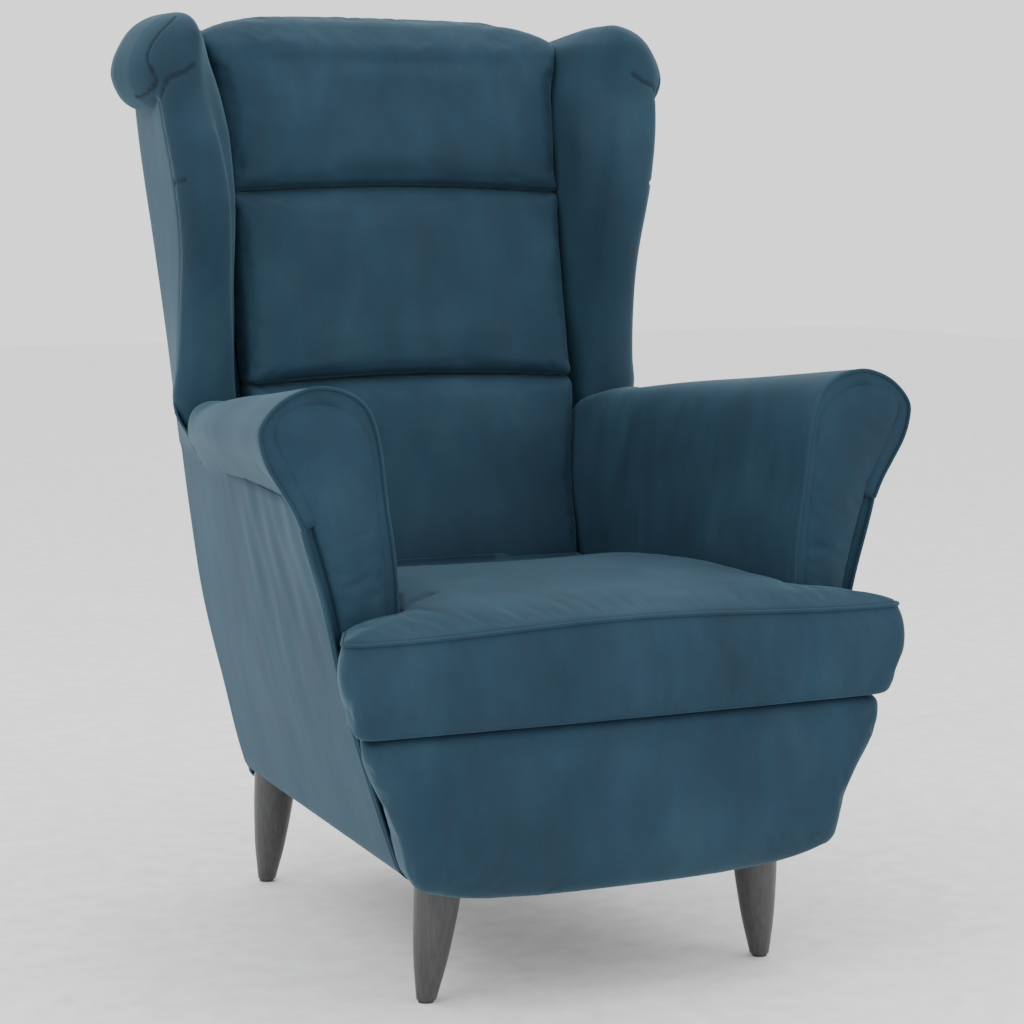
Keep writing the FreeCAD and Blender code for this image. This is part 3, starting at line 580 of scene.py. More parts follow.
# Small folds of the seat beside the front of the left arm
SEAT_PUCKERS = [
    [(-238, -300, 421), (-218, -284, 425), (-196, -268, 427), (-182, -258, 428)],
    [(-232, -290, 423), (-222, -262, 427), (-214, -236, 429)]]


def nearest(path):
    """Function that gives a point's distance in plan from a path."""
    tree = tree_of([(p[0], p[1], 0) for p in path])
    return lambda p: tree.find(Vector((p[0], p[1], 0)))[2]


def seat_cushion():
    """Boxed T-shaped cushion, crowned inside its front seam and tucked in beside the arms."""
    outline = seat_outline()
    x, y = outline.T
    ear = smooth(225, 300, abs(x)) * (1 - smooth(-345, -305, y))
    fore = 1 - smooth(-378, -345, y)
    seam_z = seat_seam_z(x)
    rings = []
    for share, out_x, out_y in SEAT_LEVELS:
        z = SEAT_BOTTOM_Z + share * (seam_z - SEAT_BOTTOM_Z)
        rings.append(np.stack([x + np.sign(x) * out_x * ear, y - out_y * fore, z], axis=1))
    made = loft("seat_cushion", rings)
    remesh(made, 5)
    co = points_of(made.data)
    from_seam = nearest(seat_front(900))
    from_edge = nearest(resampled(outline[170:], 700))
    upward = (normals_of(made.data)[:, 2] > 0.5) & (co[:, 2] > SEAT_BOTTOM_Z + 85)
    for i in np.nonzero(upward)[0]:
        p = co[i]
        seam = float(seat_seam_z(p[0]))
        crown = table(SEAT_CROWN, p[1]) - 5 * float(smooth(150, 280, abs(p[0])))
        z = seam + 2 + (crown - seam - 2) * (1 - math.exp(-from_seam(p) / 20))
        beside_arm = float(smooth(-310, -240, p[1]) * (1 - smooth(60, 110, p[1])))
        co[i, 2] = z - 6 * math.exp(-from_edge(p) / 9) * beside_arm
    set_points(made.data, co)
    relax(made, 4)

    def held(p):
        seam = np.exp(-((p[:, 2] - seat_seam_z(p[:, 0])) / 7) ** 2)
        low = 1 - smooth(306, 322, p[:, 2])
        hidden = smooth(-315, -285, p[:, 1]) * (p[:, 2] < 405)
        rear = smooth(85, 115, p[:, 1])
        ends = smooth(-325, -306, p[:, 1]) * (abs(p[:, 0]) > 232)
        return np.maximum.reduce([seam, low, hidden, rear, ends])

    inflate(made, 4.0, held, pressure=3.0, fullness=0.012)
    subdivide(made)
    # The folds get faint painted shade through the seam attribute.
    grooved(made, SEAT_PUCKERS, 6, 3.0, shade_share=0.25)
    finish_piece(made, "velvet", "seat_cover", "seat_foam", fill=0.8)


def seat_welt():
    """Piping round the top of the boxing, ending in a small tip behind each ear."""
    front = [(x, y, float(seat_seam_z(x))) for x, y in seat_front(260, 0.8)]
    tip = [(SEAT_EAR_HALF - 2, EAR_BACK_Y + 1, 404.5), (SEAT_EAR_HALF - 8, EAR_BACK_Y + 3, 404)]
    path = [(-x, y, z) for x, y, z in tip[::-1]] + front + tip
    made = cord_mesh("seat_welt", resampled(path, 270), 2.1)
    finish_piece(made, "velvet", "seat_piping")


# ------------------------------------------------------------------ front panel

# Height, half width at the front and half width at the back of the panel's ends
PANEL_HALF = [
    (118, 205, 200), (127, 228, 218), (137, 242, 228), (156, 252, 240), (191, 259, 249), (212, 267, 254),
    (234, 278, 260), (277, 300, 277), (304, 306, 283)]
# Height, and how far the panel's face stands out there
PANEL_LEVELS = [
    (309, -9), (306, -4.5), (302, -0.5), (296, 2), (284, 5), (262, 7.5), (232, 8.5), (200, 8), (176, 6.5),
    (155, 3.5), (142, -1), (132.5, -6.5), (125.5, -13), (121, -22), (119, -34)]
# Height of the panel's rear side, and how far it stays inside the outer side
PANEL_INNER_LEVELS = [(140, 42), (165, 22), (200, 12), (250, 12), (309, 12)]
PANEL_FRONT_Y = -392
PANEL_INNER_Y = -358
PANEL_BACK_Y = -306


def front_panel():
    """Panel below the seat: rings in plan from its top seam to its turned-under bottom edge."""
    outer = []
    for z, out in PANEL_LEVELS:
        half, back_half = table(PANEL_HALF, z)
        under = min(0, out)
        radius = 20 - 0.5 * under
        plan = plan_front(
            half + under, back_half + 0.4 * under, PANEL_BACK_Y, PANEL_FRONT_Y - out, radius, 150)
        lift = 8 * (1 - smooth(119, 156, z))
        outer.append([(x, y, z - 2 + lift * (abs(x) / 240) ** 3) for x, y in plan])
    inner = []
    for z, margin in PANEL_INNER_LEVELS:
        half, back_half = table(PANEL_HALF, z) - margin
        plan = plan_front(half, back_half, PANEL_BACK_Y, PANEL_INNER_Y, 12, 150, bow=2)
        inner.append([(x, y, z) for x, y in plan])
    rows = outer + inner
    verts = [p for row in rows for p in row]
    columns = len(rows[0])
    faces = grid_faces(len(rows), columns)
    first = [r * columns for r in range(len(rows))]
    last = [r * columns + columns - 1 for r in range(len(rows))]
    begin = (len(rows) - 1) * columns
    top = [(c, c + 1, begin + c + 1, begin + c) for c in range(columns - 1)]
    made = piece("front_panel", verts, faces + top + [tuple(first), tuple(last[::-1])])
    remesh(made, 4.5)
    relax(made, 3)

    def held(p):
        top_seam = smooth(285, 300, p[:, 2])
        behind = smooth(-352, -335, p[:, 1]) * (abs(p[:, 0]) < 225)
        ends = smooth(-325, -312, p[:, 1])
        return np.maximum.reduce([top_seam, behind, ends])

    inflate(made, 3.0, held, pressure=2.5, fullness=0.010)
    subdivide(made)
    finish_piece(made, "velvet", "front_rail_cover", "front_rail_foam", fill=0.8)


# ------------------------------------------------------------------ back pads

# Height, and Y of the back's front
BACK_FRONT = [
    (330, 138), (400, 138), (500, 170), (620, 206), (740, 232), (855, 256), (950, 276), (1037, 296)]
# Height and half width of the back pads
PAD_HALF = [
    (330, 193), (400, 194), (450, 197), (506, 203), (590, 216), (626, 218), (740, 219), (855, 221),
    (950, 224), (1000, 230), (1035, 240), (1068, 242)]
# Radii of a pad's rolled edges: bottom, top and sides
PAD_ROLLS = (9, 13, 8)
# Fullness of a pad's middle, its thickness, and how far it laps over the next pad
PAD_CROWN = 13
PAD_DEPTH = 36
PAD_LAP = 2.5


def pad_rows(low, high, sag_low, sag_high, count=60, across=72):
    """Front of a pad from its low seam to its high seam, crowned and rolled in at its edges."""
    rows = []
    for v in np.linspace(0, 1, count):
        row = []
        for u in np.linspace(-1, 1, across):
            z_low = low - sag_low * u * u
            z_high = high - sag_high * u * u
            z = z_low + (z_high - z_low) * v
            half = table(PAD_HALF, z)
            gaps = (v * (high - low), (1 - v) * (high - low), (1 - abs(u)) * half)
            y = table(BACK_FRONT, z) - PAD_CROWN * (1 - u * u) * min(1, 4 * v * (1 - v) + 0.3)
            for gap, radius in zip(gaps, PAD_ROLLS):
                if gap < radius:
                    y += radius - math.sqrt(radius ** 2 - (radius - gap) ** 2)
            row.append((half * u, y, z))
        rows.append(row)
    return rows


def closed_pad(name, rows):
    """Pad closed by a flat face behind its front."""
    front = np.array(rows)
    count, across, _ = front.shape
    rear = front.copy()
    rear[:, :, 1] = [[table(BACK_FRONT, p[2]) + PAD_DEPTH for p in row] for row in front]
    verts = [tuple(p) for p in front.reshape(-1, 3)] + [tuple(p) for p in rear.reshape(-1, 3)]
    start = count * across
    faces = grid_faces(count, across) + grid_faces(count, across, start=start)
    for c in range(across - 1):
        for r in (0, count - 1):
            a = r * across + c
            faces.append((a, a + 1, start + a + 1, start + a))
    for r in range(count - 1):
        for c in (0, across - 1):
            a = r * across + c
            faces.append((a, a + across, start + a + across, start + a))
    return piece(name, verts, faces)


def behind_pad(p):
    """How far points lie at the back of a pad, where they are held."""
    return smooth(22, 32, p[:, 1] - np.array([table(BACK_FRONT, z) for z in p[:, 2]]))


def back_pad(name, low, high, sags, foam):
    """Horizontal channel of the back between two seams, which sag by some at its sides."""
    made = closed_pad(name, pad_rows(low - PAD_LAP, high + PAD_LAP, *sags))
    remesh(made, 5)
    relax(made, 3)
    inflate(made, 3.5, behind_pad, pressure=2.5, fullness=0.010)
    subdivide(made)
    finish_piece(made, "velvet", foam, fill=0.75)


# Upper pad: its low seam, the height where it turns over the back, and the turn's profile as
# distance behind that height's front and rise
TOP_PAD_LOW = 859
TOP_PAD_OVER = 1032
TOP_PROFILE = [
    (0, 0), (4, 12), (11, 22), (24, 32), (44, 36), (64, 35.5), (82, 28), (92, 14), (96, 0), (96, -14)]
TOP_RISE = 1.4
# Height, and place behind the outer back's plane, of the pad's hidden rear side
TOP_PAD_FOOT = [(990, -8), (960, -14)]


def top_pad():
    """Upper pad, which runs over the top of the back and down behind it."""
    rows = pad_rows(TOP_PAD_LOW, TOP_PAD_OVER, 8, 0, 50)
    flat_rows = [row for row in rows if row[0][2] < TOP_PAD_OVER - 16]
    across = len(rows[0])
    start = table(BACK_FRONT, TOP_PAD_OVER - 16) + 2
    base = TOP_PAD_OVER - 14
    for ahead, rise in curve(TOP_PROFILE, 34):
        row = []
        for u in np.linspace(-1, 1, across):
            crown_fall = 2 * u ** 2 + 23 * u ** 6 - 1
            z = base + rise * TOP_RISE - crown_fall * max(0, rise) / 35
            half = table(PAD_HALF, z) - 0.45 * max(0, ahead - 30)
            fade = max(0, 1 - ahead / 40)
            y = start + ahead - PAD_CROWN * (1 - u * u) * fade
            side_gap = (1 - abs(u)) * half
            if side_gap < 13:
                y += (13 - math.sqrt(13 ** 2 - (13 - side_gap) ** 2)) * fade
            row.append((half * u, y, z))
        flat_rows.append(row)
    front = np.array(flat_rows)
    count = len(flat_rows)
    verts = [tuple(p) for p in front.reshape(-1, 3)]
    faces = grid_faces(count, across)
    rear = [(z, back_plane(z) + behind) for z, behind in TOP_PAD_FOOT]
    rear += [(z, table(BACK_FRONT, z) + PAD_DEPTH) for z in (940, 853)]
    foot = [(table(PAD_HALF, z) * u, y, z) for z, y in rear for u in np.linspace(-1, 1, across)]
    begin = len(verts)
    verts += foot
    faces += grid_faces(4, across, start=begin)
    last = (count - 1) * across
    for c in range(across - 1):
        faces.append((last + c, last + c + 1, begin + c + 1, begin + c))
        faces.append((c, c + 1, begin + 3 * across + c + 1, begin + 3 * across + c))
    for c in (0, across - 1):
        faces.append(tuple(r * across + c for r in range(count + 4)))
    made = piece("back_pad_upper", verts, faces)
    remesh(made, 5)
    relax(made, 3)

    def held(p):
        return np.where(p[:, 2] < 985, behind_pad(p), smooth(40, 70, p[:, 1] - 296))

    inflate(made, 3.5, held, pressure=2.5, fullness=0.010)
    subdivide(made)
    finish_piece(made, "velvet", "back_cover", "back_foam_upper", fill=0.75)


# ------------------------------------------------------------------ arms

ARM_FRONT_Y = -304
# Outline of an arm's skin at its front and at its rear: X and Z, from the seat up and over the roll
ARM_SKIN = [
    (236, 303), (236, 430), (240, 485), (247, 533), (253, 585), (260, 617), (272, 639), (294, 653),
    (324, 658), (352, 650), (372, 636), (385, 618), (385, 600), (378, 578), (365, 556), (351, 533),
    (341, 511)]
ARM_REAR_SKIN = [
    (190, 303), (190, 430), (193, 480), (200, 525), (207, 558), (214, 578), (225, 591), (240, 597),
    (258, 598), (275, 596), (287, 590), (294, 582), (296, 572), (295, 560), (291, 548), (287, 535),
    (284, 522)]
# Place from front to back, and share of the way from the front outline to the rear one
ARM_TAPERS = [(ARM_FRONT_Y, 0), (-120, 0.33), (40, 0.6), (130, 0.8), (204, 1)]
ARM_PAD = 23
# Number of the outline's widest point, and how far the skin below it is drawn in
ARM_SKIN_WIDEST = 12
ARM_TUCK = 15
# Fullness of the roll in front of the wing, and its place on the outline and along the arm
ARM_LOBE = 8
ARM_LOBE_POINT = 9.5
ARM_LOBE_Y = 172


def arm_path(y, depth=0.0, count=110):
    """Outline of the arm's skin in the plane at y: up its inner face, over the roll, to its underside."""
    share = table(ARM_TAPERS, y)
    front, rear = np.array(ARM_SKIN, float), np.array(ARM_REAR_SKIN, float)
    skin = front + share * (rear - front)
    under = smooth(ARM_SKIN_WIDEST, len(skin) - 1, np.arange(len(skin)))
    skin[:, 0] -= ARM_TUCK * under * float(smooth(-300, -240, y) * (1 - 0.5 * smooth(0, 170, y)))
    lobe = np.exp(-((np.arange(len(skin)) - ARM_LOBE_POINT) / 2.2) ** 2)
    lobe *= math.exp(-((y - ARM_LOBE_Y) / 26) ** 2)
    skin += ARM_LOBE * lobe[:, None] * np.array([0.35, 0.94])
    path = curve(skin, count)
    return inset(path, depth) if depth else path


def arm_ring(y, depth):
    """Closed section of the padding that wraps the inner face and the roll."""
    thinning = 1 - 0.45 * table(ARM_TAPERS, y)
    outer = arm_path(y, depth)
    inner = arm_path(y, ARM_PAD * thinning)[::-1]
    return [(x, y, z) for x, z in np.concatenate([outer, inner])]


def arm(side_name, side):
    """Padding of an arm, closed at both ends, and the welt round its front."""
    stations = [(-304.5, 4.5), (-303.8, 2.0), (-301.5, 0.4), (-296, 0)]
    stations += [(y, 0) for y in np.arange(-284, 200, 14)]
    stations += [(204, 0.5), (214, 3), (222, 7), (226, 12)]
    rings = [arm_ring(y, depth) for y, depth in stations]
    made = loft("arm_pad_" + side_name, rings, side)
    finish_piece(made, "velvet", "arm_cover_" + side_name, "arm_foam_" + side_name, fill=0.9)
    path = [(x, ARM_FRONT_Y - 0.6, z) for x, z in arm_path(ARM_FRONT_Y, 1.6, 220)]
    welt = cord_mesh("arm_welt_" + side_name, path, 2.0, side)
    finish_piece(welt, "velvet")


# Outer edge of an arm's facing from its inner foot over the roll, and the line of its crown
FACING_SKIN = [
    (242, 306), (243, 430), (246, 485), (252, 533), (257, 585), (264, 611), (277, 628), (298, 641),
    (327, 646), (353, 642), (369, 631), (375, 614), (371, 597), (360, 573), (344, 542), (331, 511),
    (313, 450), (293, 362), (263, 245), (240, 170)]
FACING_SPINE = [
    (318, 612), (310, 570), (296, 500), (282, 440), (268, 360), (252, 300), (240, 240), (236, 180)]
FACING_BACK_Y = -295.5
FACING_EDGE_Y = -296.5
# How far inside its edge, and how far in front of it, the facing's rolled rim runs
FACING_ROLL = [(0.0, 0.0), (0.3, 3.2), (1.6, 6.2), (4.0, 8.6), (8, 10.4), (14, 11.6), (22, 12.5)]
FACING_CROWN = 13.2


def facing(side_name, side):
    """Padded panel on the front of the arm: edge rolled in, crowned towards its middle line."""
    skin = inset(curve(FACING_SKIN, 200), 2.5)
    foot = resampled([tuple(skin[-1]), (233, 170), (233, 300), tuple(skin[0])], 60)[1:-1]
    outline = np.concatenate([skin, foot])
    spine = curve(FACING_SPINE, 80)
    away = np.linalg.norm(outline[:, None] - spine[None], axis=2)
    centre = spine[away.argmin(1)]
    width = away.min(1)[:, None]
    direction = (centre - outline) / width
    rings = [[(x, FACING_BACK_Y, z) for x, z in outline]]
    for inwards, rise in FACING_ROLL:
        ring = outline + direction * np.minimum(inwards, width * 0.7)
        rings.append([(x, FACING_EDGE_Y - rise, z) for x, z in ring])
    for share in (0.78, 0.88, 0.96):
        ring = outline + direction * np.maximum(width * share, np.minimum(24, width * 0.75))
        rings.append([(x, FACING_EDGE_Y - FACING_CROWN, z) for x, z in ring])
    made = loft("arm_facing_pad_" + side_name, rings, side)
    remesh(made, 4)
    relax(made, 3)

    def held(p):
        return smooth(-301, -298, p[:, 1])

    inflate(made, 3.0, held, pressure=2.0, fullness=0.008)
    subdivide(made)
    finish_piece(made, "velvet", "arm_facing_" + side_name, fill=0.85)


# ------------------------------------------------------------------ wings

# Height, and place of the wing's front, its inner face, the start of its flare and its outer edge
WING_FRONT = [(590, 197), (604, 196), (725, 184), (868, 162), (930, 168), (985, 182), (1046, 214)]
WING_INNER = [(590, 211), (725, 214), (868, 217), (985, 224), (1046, 244)]
WING_FLARE = [
    (590, 231), (725, 240), (868, 250), (902, 256), (960, 268), (1006, 278), (1031, 290), (1046, 300)]
WING_OUTER = [
    (511, 276), (560, 288), (590, 304), (604, 307), (640, 303), (725, 300), (780, 301), (868, 312),
    (930, 321), (985, 326), (1046, 330)]
# Height, and half width of the chair's outer sides at the arm's front and at the rear corner
SIDE_FRONT = [(138, 234), (160, 242), (239, 268), (336, 296), (425, 316), (511, 340), (545, 347)]
SIDE_REAR = [
    (136, 203), (153, 208), (253, 229), (353, 248), (451, 258), (550, 266), (660, 273), (782, 283),
    (904, 294), (1060, 302)]
# Section of the roll on top of the wing, X and Z, and the middle that it shrinks towards
SCROLL_OUTLINE = [
    (222, 1000), (212, 1020), (217, 1034), (238, 1048), (259, 1058), (282, 1063), (306, 1061),
    (331, 1047), (350, 1019), (357, 994), (352, 974), (340, 957), (320, 948), (290, 950), (250, 970),
    (222, 1000)]
SCROLL_HUB = (295, 1000)
# Y, size of the roll's section and how far it has moved inwards
SCROLL_STATIONS = [
    (178, 0.15, 6), (180, 0.30, 7), (184, 0.46, 8), (190, 0.61, 9), (198, 0.76, 10), (208, 0.87, 10),
    (222, 0.95, 9), (240, 1.0, 7), (262, 1.0, 4), (285, 1.0, 2), (305, 0.97, 3), (330, 0.90, 9),
    (355, 0.81, 19), (372, 0.75, 27), (381, 0.71, 31), (384, 0.66, 32)]
# Y, and X of the roll's inner side, in line with the wing's inner face
SCROLL_INNER = [
    (178, 284), (184, 279), (190, 275), (200, 271), (230, 262), (260, 252), (300, 240), (335, 232),
    (394, 226)]
# Height where the outer side passes from under the arm's roll to behind the wing's edge
ROLL_UNDERSIDE_Z = 540


def side_x(y, z):
    """X of the outer side at a place."""
    rear_y = back_plane(z)
    if z <= ROLL_UNDERSIDE_Z:
        front_y, front_x = ARM_FRONT_Y, table(SIDE_FRONT, z)
    else:
        front_y, front_x = table(WING_FRONT, z) + 26, table(WING_OUTER, z)
    return front_x + (table(SIDE_REAR, z) - front_x) * (y - front_y) / (rear_y - front_y)


def wing_ring(z, shrink):
    """Section of the wing's padding: inner face, front roll, and a rebate for the plywood."""
    inner, flare, front = (table(rows, z) + shrink for rows in (WING_INNER, WING_FLARE, WING_FRONT))
    outer = table(WING_OUTER, z) + 1 - shrink
    width = outer - flare
    rear = min(table(BACK_FRONT, z) + 38, back_plane(z) - 8)
    path = [
        (inner, rear), (inner + 0.30 * (flare - inner), front + 62), (flare - 4, front + 30),
        (flare + 0.05 * width, front + 12), (flare + 0.28 * width, front + 1),
        (flare + 0.55 * width, front - 0.5), (flare + 0.82 * width, front + 6), (outer - 1, front + 20),
        (outer - 1, front + 30)]
    face = curve(path, 90)
    step = 24
    rebate = [(outer - 2, front + 34), (outer - step, front + 36), (side_x(rear, z) - step - shrink, rear)]
    behind = resampled([tuple(face[-1])] + rebate + [(inner, rear)], 50)[1:-1]
    return [(x, y, z) for x, y in np.concatenate([face, behind])]


# Seam round the outer half of the roll, and pleats where the cover is gathered behind the front
WING_SEAMS = [[
    (300, 215, 1062), (316, 204, 1055), (334, 200, 1048), (349, 200, 1030), (351, 200, 1012),
    (335, 198, 992)]]
WING_PLEATS = [
    [(287, 186, 998), (300, 184, 990), (318, 188, 981), (324, 196, 962)],
    [(335, 198, 992), (328, 200, 978), (344, 222, 958), (352, 240, 953)],
    [(284, 182, 870), (298, 183, 866), (308, 192, 863), (306, 206, 850)]]


# Height and shrinkage of the body that joins the wing to its roll
FILLER_LEVELS = [(930, 0), (980, 0), (1030, 0), (1044, -8)]


def on_side(lines, side):
    """Lines of the right side, mirrored for the left."""
    return [[(x * side, y, z) for x, y, z in line] for line in lines]


def wing(side_name, side):
    """Padding of a wing: its upright body, the roll on top and the body that joins them."""
    heights = [(556, 6), (560, 2), (566, 0)] + [(z, 0) for z in np.arange(580, 1000, 18)]
    heights += [(1004, 0), (1018, 2), (1030, 6), (1040, 12), (1047, 20)]
    rings = [wing_ring(z, shrink) for z, shrink in heights]
    count = len(rings[0])
    verts = [p for ring in rings for p in ring]
    faces = tube_faces(len(rings), count)
    section = curve(SCROLL_OUTLINE, 80)[:-1] - SCROLL_HUB
    start = len(verts)
    reach = SCROLL_HUB[0] - SCROLL_OUTLINE[0][0]
    for y, scale, inwards in SCROLL_STATIONS:
        hub = SCROLL_HUB[0] - inwards
        inner = (hub - table(SCROLL_INNER, y)) / reach
        verts += [(hub + (scale if x > 0 else inner) * x, y, SCROLL_HUB[1] + scale * z) for x, z in section]
    faces += tube_faces(len(SCROLL_STATIONS), len(section), start=start)
    filler = []
    for z, grow in FILLER_LEVELS:
        filler += [(268 - grow, 224 - grow, z), (300, 214 - grow, z)]
        filler += [(300, 350 + grow, z), (238 - grow, 372 + grow, z)]
    faces += tube_faces(len(FILLER_LEVELS), 4, start=len(verts))
    verts += filler
    made = piece("wing_pad_" + side_name, verts, faces, side)
    remesh(made, 4)
    relax(made, 6)

    def crease(p):
        x = p[:, 0] * side
        return smooth(915, 960, p[:, 2]) * (1 - smooth(1015, 1040, p[:, 2])) * (1 - smooth(292, 318, x))

    blend(made, crease, 90)
    relax(made, 3)
    subdivide(made)
    # The seams and pleats get painted shade through the seam attribute, the pleats a little less.
    grooved(made, on_side(WING_SEAMS, side), 1.8, 1.8)
    grooved(made, on_side(WING_PLEATS, side), 2.6, 2.4, shade_share=0.7)
    finish_piece(made, "velvet", "wing_cover_" + side_name, "wing_foam_" + side_name, fill=0.85)


# ------------------------------------------------------------------ outer sides and outer back

# Turned-in front edge of the side: Y and depth; and its bottom edge: Z and depth
SIDE_FRONT_TURN = [(-298, 15), (-299.5, 8), (-301, 3.5), (-302.6, 1), (ARM_FRONT_Y, 0)]
SIDE_LOW_TURN = [(135.5, 22), (136.5, 12), (139.5, 5), (144.5, 1.5), (151, 0)]
# Y of the wing's seam beside the arm, and how far behind the wing's front it runs above
WING_SEAM_Y = 206
WING_SEAM_BEHIND = 28
# Height and half width of the outer back
OUTER_BACK_HALF = [
    (145, 203), (160, 208), (205, 219), (260, 229), (357, 248), (455, 258), (560, 266), (662, 273),
    (780, 283), (905, 294), (965, 298), (1005, 299), (1030, 291), (1046, 270), (1052, 240)]
# Its turned-in bottom edge: Z and depth; and the turn-in of its side edges
OUTER_BACK_LOW_TURN = [(138, 16), (137.5, 9), (139, 4), (143, 1.5)]
OUTER_BACK_TURN = (9, 5, 2)


def drape(y, z):
    """Faint folds that fall from under the arm's roll towards the front of the side."""
    near = float(smooth(280, 500, z)) * (1 - float(smooth(-60, 120, y)))
    return near * (1 + 0.8 * math.sin((y + 0.35 * z) / 17) + 0.5 * math.sin((y - 0.2 * z) / 9.5 + 1))


def side_welt(side_name, side):
    """Welt down the front edge of the side, from under the roll to the bottom."""
    path = [(side_x(-303, z) - 1.5, -304.5, z) for z in np.linspace(516, 145, 120)]
    made = cord_mesh("side_welt_" + side_name, path, 2.0, side)
    finish_piece(made, "velvet")


def side_panel(side_name, side):
    """Cover of the outer side, from the arm's front to the rear corner and up behind the wing."""
    fore, aft = 50, 26
    front = SIDE_FRONT_TURN + [(y, 0) for y in np.linspace(-292, WING_SEAM_Y, fore - len(SIDE_FRONT_TURN))]
    low_rows = SIDE_LOW_TURN + [(z, 0) for z in np.linspace(168, ROLL_UNDERSIDE_Z, 40)]
    verts = []
    for z, tuck in low_rows:
        rear = back_plane(z) - 1
        columns = front + [(y, 0) for y in np.linspace(WING_SEAM_Y, rear, aft + 1)[1:]]
        tall = math.sin(math.pi * min(1, max(0, (z - 142) / 378)))
        for y, turn in columns:
            bulge = 2.4 * tall * math.sin(math.pi * min(1, max(0, (y + 300) / 560))) ** 0.7
            verts.append((side_x(y, z) - tuck - turn + bulge + drape(y, z), y, z))
    faces = grid_faces(len(low_rows), fore + aft)
    start = len(verts)
    high = np.linspace(549, 976, 42)
    for z in high:
        behind_wing = table(WING_FRONT, max(z, 620)) + WING_SEAM_BEHIND
        seam = WING_SEAM_Y + (behind_wing - WING_SEAM_Y) * float(smooth(575, 620, z))
        rear = back_plane(z) - 1
        for y in np.linspace(seam, rear, aft + 1):
            edge = 3 * math.exp(-(y - seam) / 5.0)
            verts.append((side_x(y, z) + 1.5 - edge, y, z))
    faces += grid_faces(len(high), aft + 1, start=start)
    join = (len(low_rows) - 1) * (fore + aft) + fore - 1
    for c in range(aft):
        faces.append((join + c, join + c + 1, start + c + 1, start + c))
    made = piece("side_panel_" + side_name, verts, faces, side)
    thick = made.modifiers.new("cloth", "SOLIDIFY")
    thick.thickness = 1.6 * MM
    thick.offset = -1
    apply_modifiers(made)
    finish_piece(made, "velvet", "side_cover_" + side_name)


def outer_back():
    """Cover of the outer back, slightly full, with edges that turn in at the sides and the bottom."""
    columns = [(-1, turn) for turn in OUTER_BACK_TURN] + [(u, 0) for u in np.linspace(-1, 1, 48)]
    columns += [(1, turn) for turn in OUTER_BACK_TURN[::-1]]
    levels = OUTER_BACK_LOW_TURN + [(z, 0) for z in np.linspace(149, 1052, 74)]
    rows = []
    for z, under in levels:
        half = table(OUTER_BACK_HALF, z)
        row = []
        for u, turn in columns:
            edge = min((1 - abs(u)) * half, z - 136, 1056 - z)
            full = 3.6 * (1 - math.exp(-edge / 28.0))
            x = half * u + (0.8 - 0.1 * turn) * np.sign(u)
            row.append((x, back_plane(z) - 1 + full - turn - under, z))
        rows.append(row)
    verts = [p for row in rows for p in row]
    made = piece("outer_back_panel", verts, grid_faces(len(rows), len(columns)))
    thick = made.modifiers.new("cloth", "SOLIDIFY")
    thick.thickness = 1.6 * MM
    thick.offset = -1
    apply_modifiers(made)
    finish_piece(made, "velvet", "outer_back_cover")


# ------------------------------------------------------------------ underside

DUST_HALF_FRONT = 226
DUST_HALF_REAR = 202


def dust_cloth():
    """Black cloth tacked under the base, hanging slightly between the rails."""
    low, high = corners("dust_cover")
    z = high[2]
    rows = []
    for v in np.linspace(0, 1, 60):
        y = low[1] + (high[1] - low[1]) * v
        half = DUST_HALF_FRONT + (DUST_HALF_REAR - DUST_HALF_FRONT) * v
        row = []
        for u in np.linspace(-1, 1, 44):
            sag = 2.2 * (1 - u ** 4) * (1 - (2 * v - 1) ** 4)
            row.append((half * u, y, z - 0.4 - sag))
        rows.append(row)
    verts = [p for row in rows for p in row]
    made = piece("dust_cloth", verts, grid_faces(60, 44))
    finish_piece(made, "dust_cloth", "dust_cover")


# ------------------------------------------------------------------ stage

CAMERA_PLACE = (-1.2767, -2.8343, 0.8514)
CAMERA_AIM = (0.42604, 0.89570, -0.12736)
CAMERA_LENS = 94.063
CAMERA_SHIFT = (-0.02842, 0.02411)
WORLD_STRENGTH = 1.5


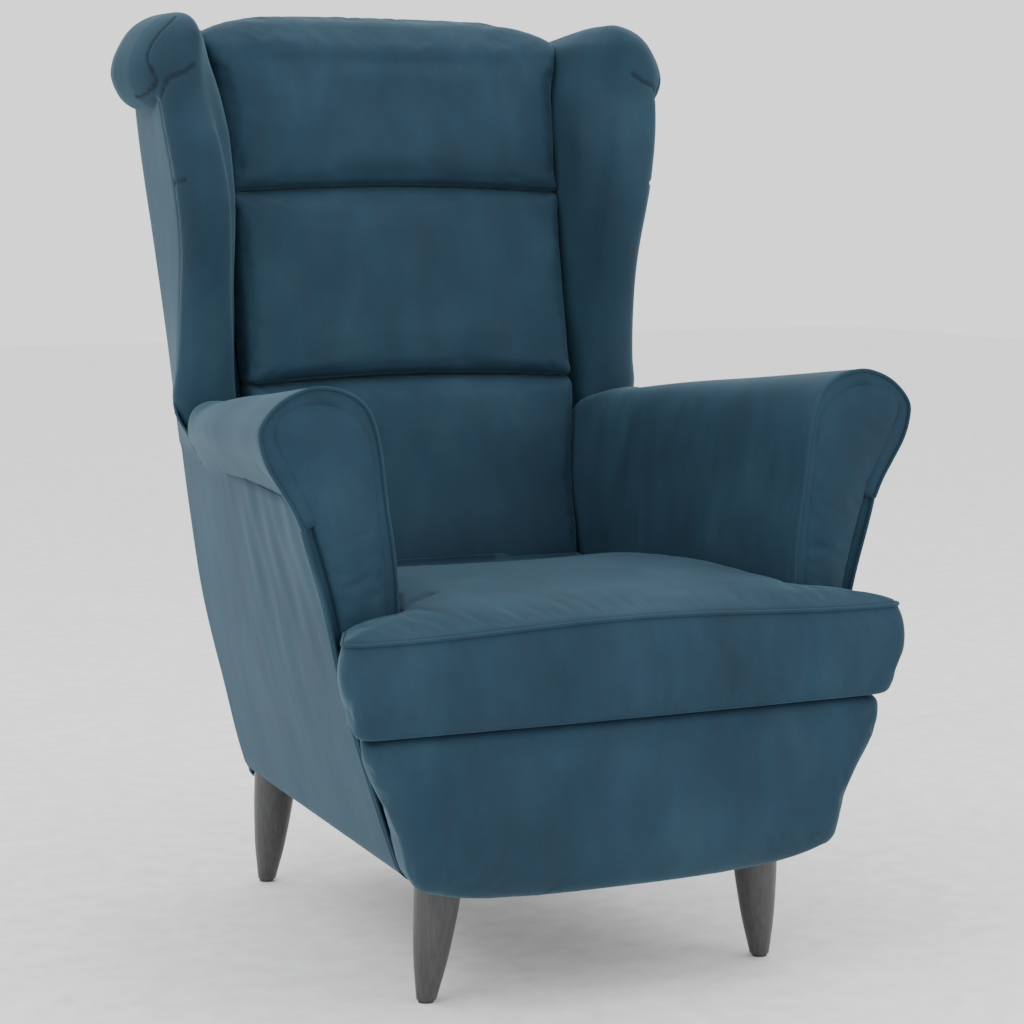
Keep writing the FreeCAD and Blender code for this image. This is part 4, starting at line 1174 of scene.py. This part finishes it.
def camera():
    """Three-quarter view from the front left, slightly above."""
    data = bpy.data.cameras.new("camera")
    made = bpy.data.objects.new("camera", data)
    bpy.context.scene.collection.objects.link(made)
    made.location = CAMERA_PLACE
    made.rotation_mode = "QUATERNION"
    made.rotation_quaternion = Vector(CAMERA_AIM).to_track_quat("-Z", "Y")
    data.sensor_width = 36
    data.lens = CAMERA_LENS
    data.shift_x, data.shift_y = CAMERA_SHIFT
    bpy.context.scene.camera = made


def softbox(name, place, aim, size, power):
    """Square soft light at a place, turned to an aim."""
    data = bpy.data.lights.new(name, "AREA")
    data.shape = "SQUARE"
    data.size = size
    data.energy = power
    made = bpy.data.objects.new(name, data)
    bpy.context.scene.collection.objects.link(made)
    made.location = place
    made.rotation_mode = "QUATERNION"
    made.rotation_quaternion = (Vector(aim) - Vector(place)).to_track_quat("-Z", "Y")


def studio():
    """Pale floor, white surroundings and three soft lights."""
    mesh = bpy.data.meshes.new("floor")
    work = bmesh.new()
    bmesh.ops.create_grid(work, x_segments=8, y_segments=8, size=8)
    work.to_mesh(mesh)
    work.free()
    floor = bpy.data.objects.new("floor", mesh)
    bpy.context.scene.collection.objects.link(floor)
    floor.location = (0, 4, 0)
    mesh.materials.append(grainy(
        "floor", (0.90, 0.90, 0.90), (0.94, 0.94, 0.94), 0.8, 3.0, (1, 1, 1), 0.05, 0.0002))
    world = bpy.data.worlds.new("studio")
    world.use_nodes = True
    world.node_tree.nodes["Background"].inputs["Color"].default_value = (1, 1, 1, 1)
    world.node_tree.nodes["Background"].inputs["Strength"].default_value = WORLD_STRENGTH
    bpy.context.scene.world = world
    softbox("key", (-2.6, -1.2, 3.0), (0, 0, 0.6), 2.0, 38)
    softbox("top", (0.2, 0.4, 3.4), (0, 0, 0.5), 2.5, 30)
    softbox("fill", (2.4, -2.6, 1.8), (0, 0, 0.5), 2.0, 20)


camera()
studio()
seat_cushion()
seat_welt()
front_panel()
back_pad("back_pad_lower", 332, 627, (0, 8), "back_foam_lower")
back_pad("back_pad_middle", 631, TOP_PAD_LOW, (8, 8), "back_foam_middle")
top_pad()
for side_name, side in SIDES.items():
    arm(side_name, side)
    facing(side_name, side)
    wing(side_name, side)
    side_panel(side_name, side)
    side_welt(side_name, side)
outer_back()
dust_cloth()

for row in frame["record"]["subparts"]:
    node_mesh = frame["nodes"][row["node"]].data
    node_mesh.materials.clear()
    node_mesh.materials.append(MATERIALS[row["material_slot"]])
